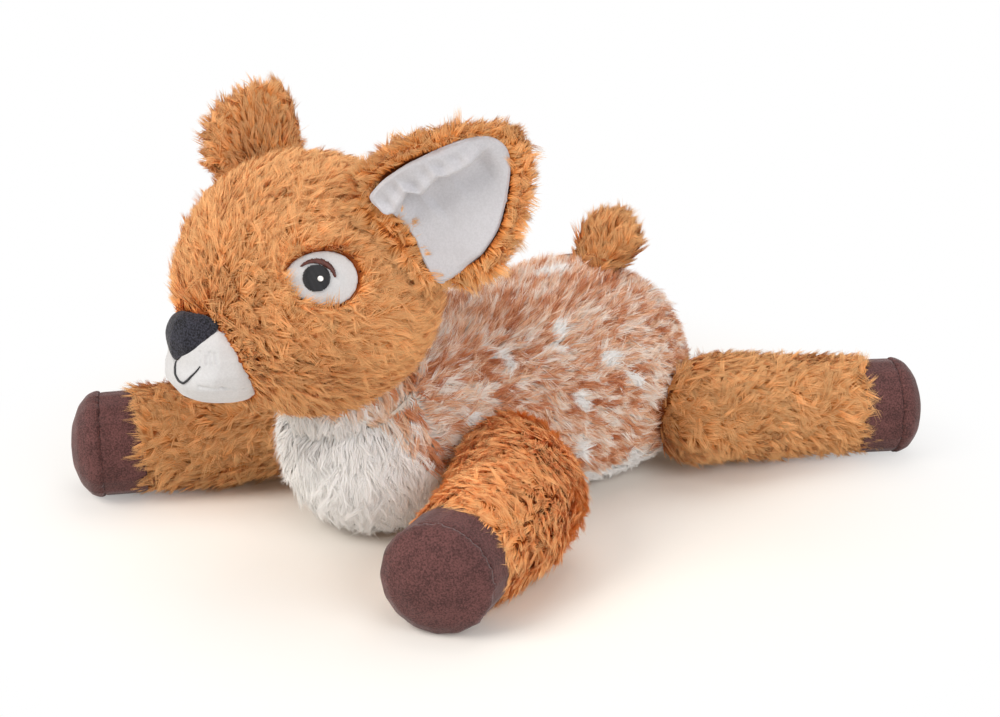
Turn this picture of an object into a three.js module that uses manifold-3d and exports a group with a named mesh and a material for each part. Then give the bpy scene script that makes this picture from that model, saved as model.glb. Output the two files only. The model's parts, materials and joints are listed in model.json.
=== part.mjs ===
import * as THREE from 'three';
import { mergeVertices } from 'three/addons/utils/BufferGeometryUtils.js';
import Module from 'manifold-3d';

// A plush fawn that lies on its belly, in millimetres.
// It faces -Y, its left side is +X, and it rests on the plane z = 0.

// Cloth, seams and clearances
const furDepth = 8; // long pile with its backing cloth
const napDepth = 2.5; // minky of the muzzle and suede of the hooves
const seamGap = 0.3; // between pieces that are sewn or packed together
const socketGap = 0.9; // round a ball or a bead that turns
const sweepGap = 1.2; // round a limb that swings
const sweepRiseShare = 1.08; // of a swinging limb's height
const flatDepth = 0.5; // how deep the resting side is cut flat
const overrun = 30; // how far a cutting shape passes what it cuts
const weldDistance = 0.001; // points closer than this are one point

// Body: a chest and a rump joined by the waist
const spineLength = 126; // from the middle of the chest to the middle of the rump
const chestPlaceShare = 0.54; // of the spine, in front of the origin
const chestWidth = 86;
const chestHeight = 88;
const chestRound = 41; // from the middle of the chest to its front
const rumpWidth = 116;
const rumpHeight = 94;
const rumpRound = 58; // from the middle of the rump to its back
const bodySquareness = 2.2; // 2 is an ellipse
const sagSquareness = 4; // of the underside at the rump, where the belly spreads on the floor
const bodySides = 24;
const fillSides = 16; // of every stuffing and of the room for it
const fillBands = 10;
const waistSteps = 4;
const endAngles = [78, 58, 38, 18];
const sideSeamHeight = 9; // of the seam between the white belly and the spotted back
const chestSeamSetback = 42; // from the middle of the chest back to where that seam starts to climb

// Weighted pouch in the underside of the stuffing
const pouchWidth = 64;
const pouchLength = 96;
const pouchHeight = 24;
const pouchSetback = 10; // behind the origin

// Neck: a ball of fur between chest and head
const neckRadius = 34;
const neckMouthRadius = 16; // of its two open ends
const neckLeanAngle = 20;
const neckSinkInChest = 7.4;
const neckSinkInHead = 6.8;
const headNodBackAngle = 8; // how far the head tips back
const neckSides = 20;
const neckBands = 12;

// Head: a ball with a snout
const headWidth = 119;
const headHeight = 115;
const headLength = 119;
const headYawAngle = -4;
const headSides = 24;
const headBands = 16;
const snoutWidth = 50;
const snoutHeight = 54;
const snoutLength = 26; // from the middle of the snout to its tip
const snoutForward = 42; // from the middle of the head
const snoutDrop = 18;
const snoutFurDepth = 3.5; // fur that stands round the root of the snout
const snoutSides = 20;
const snoutBands = 12;
const muzzleSeamForward = 51.5; // of the front of the muzzle's seam, at the snout's middle height
const muzzleSeamRadius = 34; // of the curve that takes the seam back along the cheeks
const muzzleSeamAngle = 24; // from upright
const noseWidth = 32;
const noseTop = 30; // above the middle of the snout, under the fur of the forehead
const noseBottom = -3.5; // above the middle of the snout
const noseCorner = 5;
const noseShoulder = 14.5; // above the middle of the snout, where the nose is widest
const threadRadius = 0.8;
const threadSides = 6;
const philtrumTop = -4.5; // from the middle of the snout
const philtrumLength = 9;
const smileWidth = 25;
const smileRise = 9.5;
const smileBend = 1.25; // 1 is two straight lines, 2 is a bow
const threadSteps = 5;

// Eyes: a white patch with an embroidered iris, glint and upper lid
const eyeDirectionShares = [0.843, -0.385, 0.377];
const eyePatchLength = 33;
const eyePatchHeight = 25;
const eyePatchAngle = 8;
const eyePointShare = 0.14; // how much the front end of the patch narrows
const eyeSink = 3; // of the patch below the tips of the fur
const eyePatchDepth = 1.8;
const eyePatchPoints = 20;
const eyePatchRings = 2;
const irisPoints = 14;
const irisWidth = 12.3;
const irisForward = 2.5;
const irisUp = 0.2;
const stitchDepth = 0.7; // of embroidery
const glintWidth = 2.6;
const glintBack = 1.6;
const glintDrop = 0.4;
const lidRadius = 8.7; // of its upper edge
const lidWidth = 2.2; // at its thickest
const lidTipWidth = 0.6;
const lidStartAngle = 42;
const lidEndAngle = 182;
const lidSteps = 8;

// Ears: a fur back and a minky lining that flap on a rolled root
const earLength = 69;
const earWidth = 66;
const earRimWidth = 7;
const earDepth = 9;
const earLiningDepth = 2.2;
const earLiningRise = 0.8; // of the lining above the fur's backing
const earLiningStart = 4; // past the axis of the root
const earCups = { left: 13, right: 7 }; // how far the edges curl forward
const earRootRadius = 6;
const earRootLift = 1; // of the root's axis above the head
const earRootLengthShare = 0.72; // of the ear's width
const earSwingAngles = [-15, 25];
// Where each ear is sewn on, where it points and where its lining faces; the right one hangs lower
const earPlaceShares = {
  left: { root: [0.825, 0.207, 0.525], reach: [0.488, 0.573, 0.658], face: [0.797, -0.599, -0.071] },
  right: { root: [-0.958, 0.141, 0.249], reach: [-0.569, 0.509, 0.646], face: [-0.815, -0.454, -0.36] },
};
const earOutlineShares = [
  [0, 0.7],
  [0.05, 0.75],
  [0.16, 0.96],
  [0.4, 1],
  [0.62, 0.84],
  [0.82, 0.55],
  [0.96, 0.24],
];

// Tail: two fur panels that wag on a rolled root
const tailLength = 29;
const tailWidth = 34;
const tailDepth = 14;
const tailLeanAngle = 33; // from upright
const tailSetback = 16; // behind the middle of the rump
const tailRootRadius = 7;
const tailRootLengthShare = 0.62;
const tailRootLift = 1;
const tailSwingAngles = [-30, 30];
const tailOutlineShares = [[0.1, 0.62], [0.35, 0.95], [0.6, 1], [0.82, 0.72], [0.95, 0.36]];
const rootSides = 16;
const leafRings = 2;

// Legs: a ball root, a swelling fur sleeve, a suede band and a domed sole
const legSides = 16;
const legFillSides = 12;
const legRootAngles = [70, 48, 28, 10];
const soleAngles = [20, 42, 66];
const sleeveShares = [0.25, 0.5, 0.75];
const frontLeg = {
  rootRadius: 27,
  rootHeight: 34,
  rootOut: 9, // of the root's middle from the body's side
  cuffWidth: 53, // where the sleeve meets the hoof
  hoofRadius: 25,
  hoofLength: 34,
  soleDepth: 13,
  swingAngles: [-12, 30],
};
const hindLeg = {
  rootRadius: 26,
  rootHeight: 32,
  rootOut: 8,
  cuffWidth: 50,
  hoofRadius: 23.5,
  hoofLength: 32,
  soleDepth: 12,
  swingAngles: [-30, 15],
};
// Each pair is left, right. The near front leg is pushed up into folds and the far one is stretched out
const frontSleeveWidths = [66, 54]; // at the thickest place
const frontSleeveHeights = [60, 50];
const hindSleeveWidths = [58, 58];
const hindSleeveHeights = [53, 53];
const frontRootSetbacks = [38, 6]; // behind the middle of the chest
const hindRootSetbacks = [30, 30]; // behind the middle of the rump
const frontReaches = [105, 116]; // from the root's middle to the tip of the sole
const hindReaches = [118, 118];
const frontSpreadAngles = [58, 57]; // how far each leg points forward of straight out
const hindSpreadAngles = [-64, -50];
const frontRootTurnAngles = [-39, -12]; // from the spread to the heading at the root
const hindRootTurnAngles = [-20, -20];
const frontHoofTurnAngles = [-8, 0]; // from the spread to the heading of the hoof
const hindHoofTurnAngles = [5, 5];
const legCurveShare = 0.42; // of the reach, how far each end keeps its own heading

const radians = THREE.MathUtils.degToRad;
const up = new THREE.Vector3(0, 0, 1);
const chestY = -spineLength * chestPlaceShare;
const rumpY = spineLength * (1 - chestPlaceShare);

const wasm = await Module();
wasm.setup();

// A closed surface as a solid, with its faces turned outwards
function solidOf(geometry) {
  const bare = geometry.clone();
  bare.deleteAttribute('normal');
  bare.deleteAttribute('uv');
  const merged = mergeVertices(bare, weldDistance);
  const points = merged.attributes.position.array;
  const corners = merged.index.array;
  let volume = 0;
  const a = new THREE.Vector3();
  const b = new THREE.Vector3();
  const c = new THREE.Vector3();
  for (let i = 0; i < corners.length; i += 3) {
    a.fromArray(points, corners[i] * 3);
    b.fromArray(points, corners[i + 1] * 3);
    c.fromArray(points, corners[i + 2] * 3);
    volume += a.dot(b.cross(c));
  }
  const turned = volume < 0 ? Uint32Array.from(corners).reverse() : Uint32Array.from(corners);
  return new wasm.Manifold(
    new wasm.Mesh({ numProp: 3, vertProperties: Float32Array.from(points), triVerts: turned })
  );
}

function geometryOf(solid) {
  const mesh = solid.getMesh();
  const geometry = new THREE.BufferGeometry();
  geometry.setAttribute('position', new THREE.BufferAttribute(mesh.vertProperties, 3));
  geometry.setIndex(new THREE.BufferAttribute(mesh.triVerts, 1));
  geometry.computeVertexNormals();
  return geometry;
}

function joined(...solids) {
  return solids.reduce((whole, solid) => whole.add(solid));
}

function cut(solid, ...cutters) {
  return cutters.reduce((left, cutter) => left.subtract(cutter), solid);
}

function surfaceOf(points, faces) {
  const geometry = new THREE.BufferGeometry().setFromPoints(points);
  geometry.setIndex(faces);
  return geometry;
}

// A closed skin over rings of points that have the same number of points, with a point at each end
function skinOver(rings, firstPoint, lastPoint) {
  const sides = rings[0].length;
  const points = [firstPoint, ...rings.flat(), lastPoint];
  const lastRing = 1 + (rings.length - 1) * sides;
  const faces = [];
  for (let side = 0; side < sides; side += 1) {
    const next = (side + 1) % sides;
    faces.push(0, 1 + next, 1 + side);
    faces.push(lastRing + side, lastRing + next, points.length - 1);
    for (let ring = 1; ring < lastRing; ring += sides) {
      faces.push(ring + side, ring + next, ring + sides + next);
      faces.push(ring + side, ring + sides + next, ring + sides + side);
    }
  }
  return surfaceOf(points, faces);
}

// One ring across an axis: an ellipse, or a squarer outline where squareness is over 2
function ringAt(centre, axis, halfWidth, halfHeight, sides, squareness = 2, lowSquareness = squareness) {
  const across = new THREE.Vector3().crossVectors(up, axis).normalize();
  const bulge = (value, power) => Math.sign(value) * Math.abs(value) ** (2 / power);
  return Array.from({ length: sides }, (_, side) => {
    const angle = (2 * Math.PI * side) / sides;
    const power = Math.sin(angle) < 0 ? lowSquareness : squareness;
    return centre
      .clone()
      .addScaledVector(across, halfWidth * bulge(Math.cos(angle), power))
      .addScaledVector(up, halfHeight * bulge(Math.sin(angle), power));
  });
}

// A pad between two faces, laid out as rings round the middle of an outline
function padOver(outline, padRings, placeOn) {
  const count = outline.length;
  const middle = new THREE.Vector2();
  outline.forEach((point) => middle.addScaledVector(point, 1 / count));
  const points = [];
  for (const face of [0, 1]) {
    points.push(placeOn(middle, face));
    for (let ring = 1; ring <= padRings; ring += 1) {
      outline.forEach((point) => points.push(placeOn(middle.clone().lerp(point, ring / padRings), face)));
    }
  }
  const faceSize = 1 + padRings * count;
  const faces = [];
  for (let side = 0; side < count; side += 1) {
    const next = (side + 1) % count;
    faces.push(faceSize, faceSize + 1 + side, faceSize + 1 + next);
    faces.push(0, 1 + next, 1 + side);
    for (let ring = 1; ring < padRings; ring += 1) {
      const near = 1 + (ring - 1) * count;
      const far = near + count;
      faces.push(faceSize + near + side, faceSize + far + side, faceSize + far + next);
      faces.push(faceSize + near + side, faceSize + far + next, faceSize + near + next);
      faces.push(near + side, far + next, far + side);
      faces.push(near + side, near + next, far + next);
    }
    const rim = faceSize - count;
    faces.push(rim + side, rim + next, faceSize + rim + next);
    faces.push(rim + side, faceSize + rim + next, faceSize + rim + side);
  }
  return surfaceOf(points, faces);
}

function ellipsoid(halfX, halfY, halfZ, sides, bands) {
  return new THREE.SphereGeometry(1, sides, bands).rotateX(Math.PI / 2).scale(halfX, halfY, halfZ);
}

// The room that a flap needs as it turns about its root, on each side of where it rests
function flapRoom(pivot, reach, face, halfAcross, halfDepth, length, [back, forward]) {
  const start = halfDepth;
  const outline = new THREE.Shape();
  outline.moveTo(0, start);
  outline.lineTo(length, start + length * Math.tan(radians(forward)));
  outline.lineTo(length, -start + length * Math.tan(radians(back)));
  outline.lineTo(0, -start);
  const room = new THREE.ExtrudeGeometry(outline, { depth: 2 * halfAcross, bevelEnabled: false });
  room.translate(0, 0, -halfAcross);
  const across = new THREE.Vector3().crossVectors(reach, face);
  room.applyMatrix4(new THREE.Matrix4().makeBasis(reach, face, across));
  return room.translate(pivot.x, pivot.y, pivot.z);
}

function mirrored(geometry) {
  return geometry.clone().scale(-1, 1, 1);
}

// Everything under the plane that the fawn lies on
function underFloor() {
  const reach = spineLength + chestRound + rumpRound + Math.max(...frontReaches, ...hindReaches) + overrun;
  return solidOf(new THREE.BoxGeometry(2 * reach, 2 * reach, overrun).translate(0, 0, -overrun / 2));
}

function rodBetween(from, to, radius, sides) {
  const along = to.clone().sub(from);
  const rod = new THREE.CylinderGeometry(radius, radius, along.length(), sides);
  const standing = new THREE.Vector3(0, 1, 0);
  rod.applyQuaternion(new THREE.Quaternion().setFromUnitVectors(standing, along.normalize()));
  const middle = from.clone().lerp(to, 1 / 2);
  return rod.translate(middle.x, middle.y, middle.z);
}

const root = new THREE.Group();
const floorCut = underFloor();

function addPiece(group, name, solid, finish) {
  const mesh = new THREE.Mesh(geometryOf(solid), new THREE.MeshStandardMaterial(finish));
  mesh.name = name;
  group.add(mesh);
}

const gingerFur = { color: 0xc98a4b, roughness: 0.95, metalness: 0 };
const spottedFur = { color: 0xa2644a, roughness: 0.95, metalness: 0 };
const whiteFur = { color: 0xede9e2, roughness: 0.95, metalness: 0 };
const whiteMinky = { color: 0xdcd8d6, roughness: 0.9, metalness: 0 };
const brownSuede = { color: 0x573e3e, roughness: 0.9, metalness: 0 };
const blackFleece = { color: 0x2b2b33, roughness: 0.95, metalness: 0 };
const blackThread = { color: 0x1e1e22, roughness: 0.6, metalness: 0 };
const brownThread = { color: 0x5a2a20, roughness: 0.6, metalness: 0 };
const whiteThread = { color: 0xf2f0ee, roughness: 0.6, metalness: 0 };
const fibreFill = { color: 0xf4f2ec, roughness: 1, metalness: 0 };
const pouchCloth = { color: 0xd8d2c4, roughness: 0.9, metalness: 0 };

// Body

// The body's section at a share of the way from chest to rump
function bodySectionAt(share) {
  const eased = THREE.MathUtils.smoothstep(share, 0, 1);
  return {
    halfWidth: THREE.MathUtils.lerp(chestWidth, rumpWidth, eased) / 2,
    halfHeight: THREE.MathUtils.lerp(chestHeight, rumpHeight, eased) / 2,
    lowSquareness: THREE.MathUtils.lerp(bodySquareness, sagSquareness, eased),
  };
}

// The body's outside, or its stuffing where grow is negative
function bodyForm(grow, sides) {
  const along = new THREE.Vector3(0, 1, 0);
  const rings = [];
  const addRing = (y, share, endShare) => {
    const { halfWidth, halfHeight, lowSquareness } = bodySectionAt(share);
    const centre = new THREE.Vector3(0, y, halfHeight - flatDepth);
    const wide = (halfWidth + grow) * endShare;
    const tall = (halfHeight + grow) * endShare;
    rings.push(ringAt(centre, along, wide, tall, sides, bodySquareness, lowSquareness));
  };
  const front = chestRound + grow;
  const back = rumpRound + grow;
  endAngles.forEach((angle) => {
    addRing(chestY - front * Math.sin(radians(angle)), 0, Math.cos(radians(angle)));
  });
  for (let step = 0; step <= waistSteps; step += 1) {
    addRing(chestY + (spineLength * step) / waistSteps, step / waistSteps, 1);
  }
  [...endAngles].reverse().forEach((angle) => {
    addRing(rumpY + back * Math.sin(radians(angle)), 1, Math.cos(radians(angle)));
  });
  const firstPoint = new THREE.Vector3(0, chestY - front, bodySectionAt(0).halfHeight - flatDepth);
  const lastPoint = new THREE.Vector3(0, rumpY + back, bodySectionAt(1).halfHeight - flatDepth);
  return skinOver(rings, firstPoint, lastPoint);
}

function bodyHalfWidthAt(y) {
  const { halfWidth } = bodySectionAt((y - chestY) / spineLength);
  const past = Math.max(0, y - rumpY) / rumpRound;
  return halfWidth * Math.sqrt(1 - past ** 2);
}

// Everything below the seam that runs low along the sides and climbs in front of the shoulders
function bellyRegion(lift) {
  const reach = chestWidth + rumpWidth;
  const rear = rumpY + rumpRound + overrun;
  const front = chestY - chestRound - overrun;
  const climb = chestY + chestSeamSetback;
  const outline = new THREE.Shape();
  outline.moveTo(rear, -overrun);
  outline.lineTo(rear, sideSeamHeight + lift);
  outline.lineTo(climb + lift, sideSeamHeight + lift);
  outline.quadraticCurveTo(chestY + lift, sideSeamHeight + lift, chestY + lift, chestHeight + overrun);
  outline.lineTo(front, chestHeight + overrun);
  outline.lineTo(front, -overrun);
  const region = new THREE.ExtrudeGeometry(outline, {
    depth: reach,
    bevelEnabled: false,
    curveSegments: 6,
  });
  region.translate(0, 0, -reach / 2);
  // The outline's first axis lies along Y, its second stands along Z and its depth runs along X
  region.applyMatrix4(new THREE.Matrix4().set(0, 0, 1, 0, 1, 0, 0, 0, 0, 1, 0, 0, 0, 0, 0, 1));
  return solidOf(region);
}

function pouchForm(grow) {
  const pouch = ellipsoid(
    pouchWidth / 2 + grow,
    pouchLength / 2 + grow,
    pouchHeight + grow,
    fillSides,
    fillBands
  );
  return solidOf(pouch.translate(0, pouchSetback, furDepth - flatDepth));
}

// Neck

const chestMiddle = new THREE.Vector3(0, chestY, chestHeight / 2 - flatDepth);
const neckAxis = new THREE.Vector3(0, -Math.sin(radians(neckLeanAngle)), Math.cos(radians(neckLeanAngle)));
const neckPivot = chestMiddle.clone().addScaledVector(neckAxis, chestHeight / 2 - neckSinkInChest);
const headMiddle = neckPivot.clone().addScaledVector(neckAxis, headHeight / 2 - neckSinkInHead);

function neckBall(radius, centre, sides = neckSides, bands = neckBands) {
  const ball = ellipsoid(radius, radius, radius, sides, bands);
  return solidOf(ball.rotateX(radians(neckLeanAngle)).translate(centre.x, centre.y, centre.z));
}

// The neck's filling: a ball that shows through both open ends
function neckFill(grow) {
  const reach = neckRadius - furDepth / 2 + grow;
  const from = neckPivot.clone().addScaledVector(neckAxis, -reach);
  const to = neckPivot.clone().addScaledVector(neckAxis, reach);
  const mouth = solidOf(rodBetween(from, to, neckMouthRadius + grow, fillSides));
  return joined(neckBall(neckRadius - furDepth + grow, neckPivot, fillSides, fillBands), mouth);
}

function addNeck() {
  const mouthReach = neckRadius + overrun;
  const from = neckPivot.clone().addScaledVector(neckAxis, -mouthReach);
  const to = neckPivot.clone().addScaledVector(neckAxis, mouthReach);
  const mouth = solidOf(rodBetween(from, to, neckMouthRadius + seamGap, fillSides));
  const room = neckBall(neckRadius - furDepth + seamGap, neckPivot, fillSides, fillBands);
  addPiece(root, 'neck_cuff', cut(neckBall(neckRadius, neckPivot), room, mouth), gingerFur);
  addPiece(root, 'neck_stuffing', neckFill(0), fibreFill);
}

// Legs

// side is 1 on the left and -1 on the right
function legOf(end, index) {
  const isFront = end === 'front';
  const pick = (front, hind) => (isFront ? front : hind)[index];
  const side = index === 0 ? 1 : -1;
  const shape = isFront ? frontLeg : hindLeg;
  const y = (isFront ? chestY : rumpY) + pick(frontRootSetbacks, hindRootSetbacks);
  return {
    ...shape,
    name: `${end}_${index === 0 ? 'left' : 'right'}`,
    side,
    pivot: new THREE.Vector3(side * (bodyHalfWidthAt(y) + shape.rootOut), y, shape.rootHeight),
    sleeveWidth: pick(frontSleeveWidths, hindSleeveWidths),
    sleeveHeight: pick(frontSleeveHeights, hindSleeveHeights),
    reach: pick(frontReaches, hindReaches),
    spread: pick(frontSpreadAngles, hindSpreadAngles),
    rootTurn: pick(frontRootTurnAngles, hindRootTurnAngles),
    hoofTurn: pick(frontHoofTurnAngles, hindHoofTurnAngles),
  };
}

const legs = [legOf('front', 0), legOf('front', 1), legOf('hind', 0), legOf('hind', 1)];

// The level direction that lies at an angle forward of straight out to a leg's side
function headingOf(leg, degrees) {
  const angle = radians(degrees);
  return new THREE.Vector3(leg.side * Math.cos(angle), -Math.sin(angle), 0);
}

// The middle line of a leg, level with its root
function legCurve(leg) {
  const hold = leg.reach * legCurveShare;
  const tip = leg.pivot.clone().addScaledVector(headingOf(leg, leg.spread), leg.reach);
  return new THREE.CubicBezierCurve3(
    leg.pivot,
    leg.pivot.clone().addScaledVector(headingOf(leg, leg.spread + leg.rootTurn), hold),
    tip.clone().addScaledVector(headingOf(leg, leg.spread + leg.hoofTurn), -hold),
    tip
  );
}

// A round across a leg, at a distance along it and a height above the floor.
// Before the root the leg runs on straight
function legRing(leg, distance, height, halfWidth, halfHeight, sides) {
  const curve = legCurve(leg);
  const share = Math.min(Math.max(distance / curve.getLength(), 0), 1);
  const heading = curve.getTangentAt(share);
  const centre = curve.getPointAt(share).addScaledVector(heading, Math.min(distance, 0)).setZ(height);
  return { centre, ring: ringAt(centre, heading, halfWidth, halfHeight, sides) };
}

function legLength(leg) {
  return legCurve(leg).getLength();
}

// A skin over rounds, closed by a point at each end
function legSkin(rounds, first, last) {
  return skinOver(rounds.map(({ ring }) => ring), first, last);
}

function rootRounds(leg, radius, sides) {
  return [...legRootAngles, 0].map((angle) => {
    const half = radius * Math.cos(radians(angle));
    return legRing(leg, -radius * Math.sin(radians(angle)), leg.rootHeight, half, half, sides);
  });
}

// The fur sleeve's rounds, from the root's middle to the hoof
function sleeveRounds(leg, grow, sides) {
  const length = legLength(leg) - leg.hoofLength;
  const thickest = sleeveShares[0];
  return sleeveShares.map((share) => {
    const taper = (share - thickest) / (1 - thickest);
    const halfWidth = THREE.MathUtils.lerp(leg.sleeveWidth, leg.cuffWidth, taper) / 2;
    const halfHeight = THREE.MathUtils.lerp(leg.sleeveHeight, leg.cuffWidth, taper) / 2;
    const settled = THREE.MathUtils.smoothstep(share, 0, sleeveShares[1]);
    const height = THREE.MathUtils.lerp(leg.rootHeight, halfHeight - flatDepth, settled);
    return legRing(leg, length * share, height, halfWidth + grow, halfHeight + grow, sides);
  });
}

// The end of the fur, at the hoof
function cuffRound(leg, grow) {
  const half = leg.cuffWidth / 2;
  const end = legLength(leg) - leg.hoofLength;
  return legRing(leg, end, half - flatDepth, half + grow, half + grow, legSides);
}

function sleeveForm(leg) {
  const cuff = cuffRound(leg, 0);
  const roots = rootRounds(leg, leg.rootRadius, legSides);
  const start = legRing(leg, -leg.rootRadius, leg.rootHeight, 0, 0, legSides);
  return legSkin([...roots, ...sleeveRounds(leg, 0, legSides), cuff], start.centre, cuff.centre);
}

function hoofRound(leg, distance, grow, sides) {
  const half = leg.hoofRadius + grow;
  return legRing(leg, distance, leg.hoofRadius - flatDepth, half, half, sides);
}

// The domed end of a hoof, from its seam outwards
function soleRounds(leg, grow, sides) {
  const seam = legLength(leg) - leg.soleDepth;
  return soleAngles.map((angle) => {
    const half = (leg.hoofRadius + grow) * Math.cos(radians(angle));
    const distance = seam + (leg.soleDepth + grow) * Math.sin(radians(angle));
    return legRing(leg, distance, leg.hoofRadius - flatDepth, half, half, sides);
  });
}

function bandForm(leg) {
  const from = hoofRound(leg, legLength(leg) - leg.hoofLength + seamGap, 0, legSides);
  const to = hoofRound(leg, legLength(leg) - leg.soleDepth - seamGap, 0, legSides);
  return legSkin([from, to], from.centre, to.centre);
}

function soleForm(leg) {
  const from = hoofRound(leg, legLength(leg) - leg.soleDepth, 0, legSides);
  const tip = hoofRound(leg, legLength(leg), 0, legSides);
  return legSkin([from, ...soleRounds(leg, 0, legSides)], from.centre, tip.centre);
}

// The filling of a leg, which runs from its root into its sole
function legFill(leg, grow) {
  const tip = hoofRound(leg, legLength(leg) - napDepth + grow, 0, legFillSides);
  const radius = leg.rootRadius - furDepth + grow;
  const start = legRing(leg, -radius, leg.rootHeight, 0, 0, legFillSides);
  const rounds = [
    ...rootRounds(leg, radius, legFillSides),
    ...sleeveRounds(leg, grow - furDepth, legFillSides),
    hoofRound(leg, legLength(leg) - leg.hoofLength, grow - napDepth, legFillSides),
    hoofRound(leg, legLength(leg) - leg.soleDepth, grow - napDepth, legFillSides),
    ...soleRounds(leg, grow - napDepth, legFillSides),
  ];
  return legSkin(rounds, start.centre, tip.centre);
}

// The room that a leg needs as it swings: the leg at mid-swing, with each half turned to its limit
function legRoom(leg) {
  const [first, last] = leg.swingAngles;
  const half = radians(last - first) / 2;
  const middle = { ...leg, spread: leg.spread - (first + last) / 2 };
  const heading = headingOf(middle, middle.spread + middle.rootTurn);
  const turnSides = ({ centre, ring }, limit) => ring.forEach((point) => {
    const out = point.clone().sub(centre).cross(heading).z;
    const turn = Math.abs(out) > weldDistance ? -Math.sign(out) * limit : 0;
    point.sub(leg.pivot).applyAxisAngle(up, turn).add(leg.pivot);
  });
  const rootRadius = leg.rootRadius + socketGap;
  const roots = rootRounds(middle, rootRadius, legSides);
  roots.forEach((round, index) => {
    const behind = radians(index < legRootAngles.length ? legRootAngles[index] : 0);
    turnSides(round, half * (1 - behind / (Math.PI / 2)));
  });
  const sleeve = [...sleeveRounds(middle, sweepGap, legSides), cuffRound(middle, sweepGap)];
  sleeve.forEach((round) => {
    turnSides(round, half);
    round.ring.forEach((point) => {
      point.z = round.centre.z + (point.z - round.centre.z) * sweepRiseShare;
    });
  });
  const start = legRing(middle, -rootRadius, leg.rootHeight, 0, 0, legSides);
  return solidOf(legSkin([...roots, ...sleeve], start.centre, sleeve[sleeve.length - 1].centre));
}

function addLeg(leg) {
  const room = solidOf(legFill(leg, seamGap));
  addPiece(root, `${leg.name}_leg_cover`, cut(solidOf(sleeveForm(leg)), room, floorCut), gingerFur);
  addPiece(root, `${leg.name}_leg_stuffing`, cut(solidOf(legFill(leg, 0)), floorCut), fibreFill);
  addPiece(root, `${leg.name}_hoof_band`, cut(solidOf(bandForm(leg)), room, floorCut), brownSuede);
  addPiece(root, `${leg.name}_hoof_sole`, cut(solidOf(soleForm(leg)), room, floorCut), brownSuede);
}

// Tail

const tailY = rumpY + tailSetback;
const tailRumpShare = Math.sqrt(1 - (tailSetback / rumpRound) ** 2);
const tailPivot = new THREE.Vector3(
  0,
  tailY,
  rumpHeight / 2 - flatDepth + (rumpHeight / 2) * tailRumpShare + tailRootLift
);
const tailReach = new THREE.Vector3(0, Math.sin(radians(tailLeanAngle)), Math.cos(radians(tailLeanAngle)));

// A leaf outline along its length, from shares of its length and of half its width
function leafOutline(shares, length, width) {
  const oneSide = shares.map(([along, out]) => new THREE.Vector2(along * length, (out * width) / 2));
  const otherSide = oneSide.map((point) => new THREE.Vector2(point.x, -point.y)).reverse();
  return [...oneSide, new THREE.Vector2(length, 0), ...otherSide];
}

function tailPanel(inner, outer, grow) {
  const outline = leafOutline(tailOutlineShares, tailLength + grow, tailWidth + 2 * grow);
  const thickness = new THREE.Vector3().crossVectors(tailReach, new THREE.Vector3(1, 0, 0));
  return padOver(outline, leafRings, (point, face) => {
    const edgeShare = 2 * Math.abs(point.y) / (tailWidth + 2 * grow);
    const tipShare = Math.max(0, 2 * point.x / tailLength - 1);
    const thinning = Math.sqrt(Math.max(1 - edgeShare ** 2 / 2 - tipShare ** 2 / 2, 0));
    const depth = face ? outer * thinning : inner;
    return tailPivot
      .clone()
      .addScaledVector(tailReach, point.x)
      .add(new THREE.Vector3(point.y, 0, 0))
      .addScaledVector(thickness, depth);
  });
}

function tailRoot(grow) {
  const half = (tailRootLengthShare * tailWidth) / 2 + grow;
  const from = tailPivot.clone().add(new THREE.Vector3(-half, 0, 0));
  const to = tailPivot.clone().add(new THREE.Vector3(half, 0, 0));
  return solidOf(rodBetween(from, to, tailRootRadius + grow, rootSides));
}

function tailRooms() {
  const thickness = new THREE.Vector3().crossVectors(tailReach, new THREE.Vector3(1, 0, 0));
  const halfAcross = tailWidth / 2 + sweepGap;
  const halfDepth = tailDepth / 2 + sweepGap;
  const limits = tailSwingAngles;
  const swept = flapRoom(tailPivot, tailReach, thickness, halfAcross, halfDepth, tailLength, limits);
  return [tailRoot(socketGap), solidOf(swept)];
}

function addTail() {
  const upper = solidOf(tailPanel(seamGap / 2, tailDepth / 2, 0));
  const lower = solidOf(tailPanel(-seamGap / 2, -tailDepth / 2, 0));
  addPiece(root, 'tail_upper_panel', joined(upper, tailRoot(0)), gingerFur);
  addPiece(root, 'tail_lower_panel', cut(lower, tailRoot(seamGap)), gingerFur);
}

// The room over the shoulders for the head as it tips back
function headRoom() {
  const halves = new THREE.Vector3(headWidth, headLength, headHeight).divideScalar(2).addScalar(sweepGap);
  const ball = ellipsoid(halves.x, halves.y, halves.z, headSides, headBands);
  const rise = headMiddle.clone().sub(neckPivot);
  ball.translate(rise.x, rise.y, rise.z).rotateX(-radians(headNodBackAngle));
  return solidOf(ball.translate(neckPivot.x, neckPivot.y, neckPivot.z));
}

function addBody() {
  const hollow = solidOf(bodyForm(seamGap - furDepth, fillSides));
  const rooms = [
    neckBall(neckRadius + socketGap, neckPivot),
    ...legs.map(legRoom),
    ...tailRooms(),
    headRoom(),
    floorCut,
  ];
  const shell = cut(solidOf(bodyForm(0, bodySides)), hollow, ...rooms);
  addPiece(root, 'back_cover', cut(shell, bellyRegion(seamGap)), spottedFur);
  addPiece(root, 'belly_cover', shell.intersect(bellyRegion(0)), whiteFur);
  const filling = solidOf(bodyForm(-furDepth, fillSides));
  addPiece(root, 'body_stuffing', cut(filling, pouchForm(seamGap), ...rooms), fibreFill);
  addPiece(root, 'weight_pouch', pouchForm(0).intersect(filling), pouchCloth);
}

// Head, in its own frame: its middle at the origin, facing -Y

const head = new THREE.Group();
head.position.copy(headMiddle);
head.rotation.z = radians(headYawAngle);
root.add(head);

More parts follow.
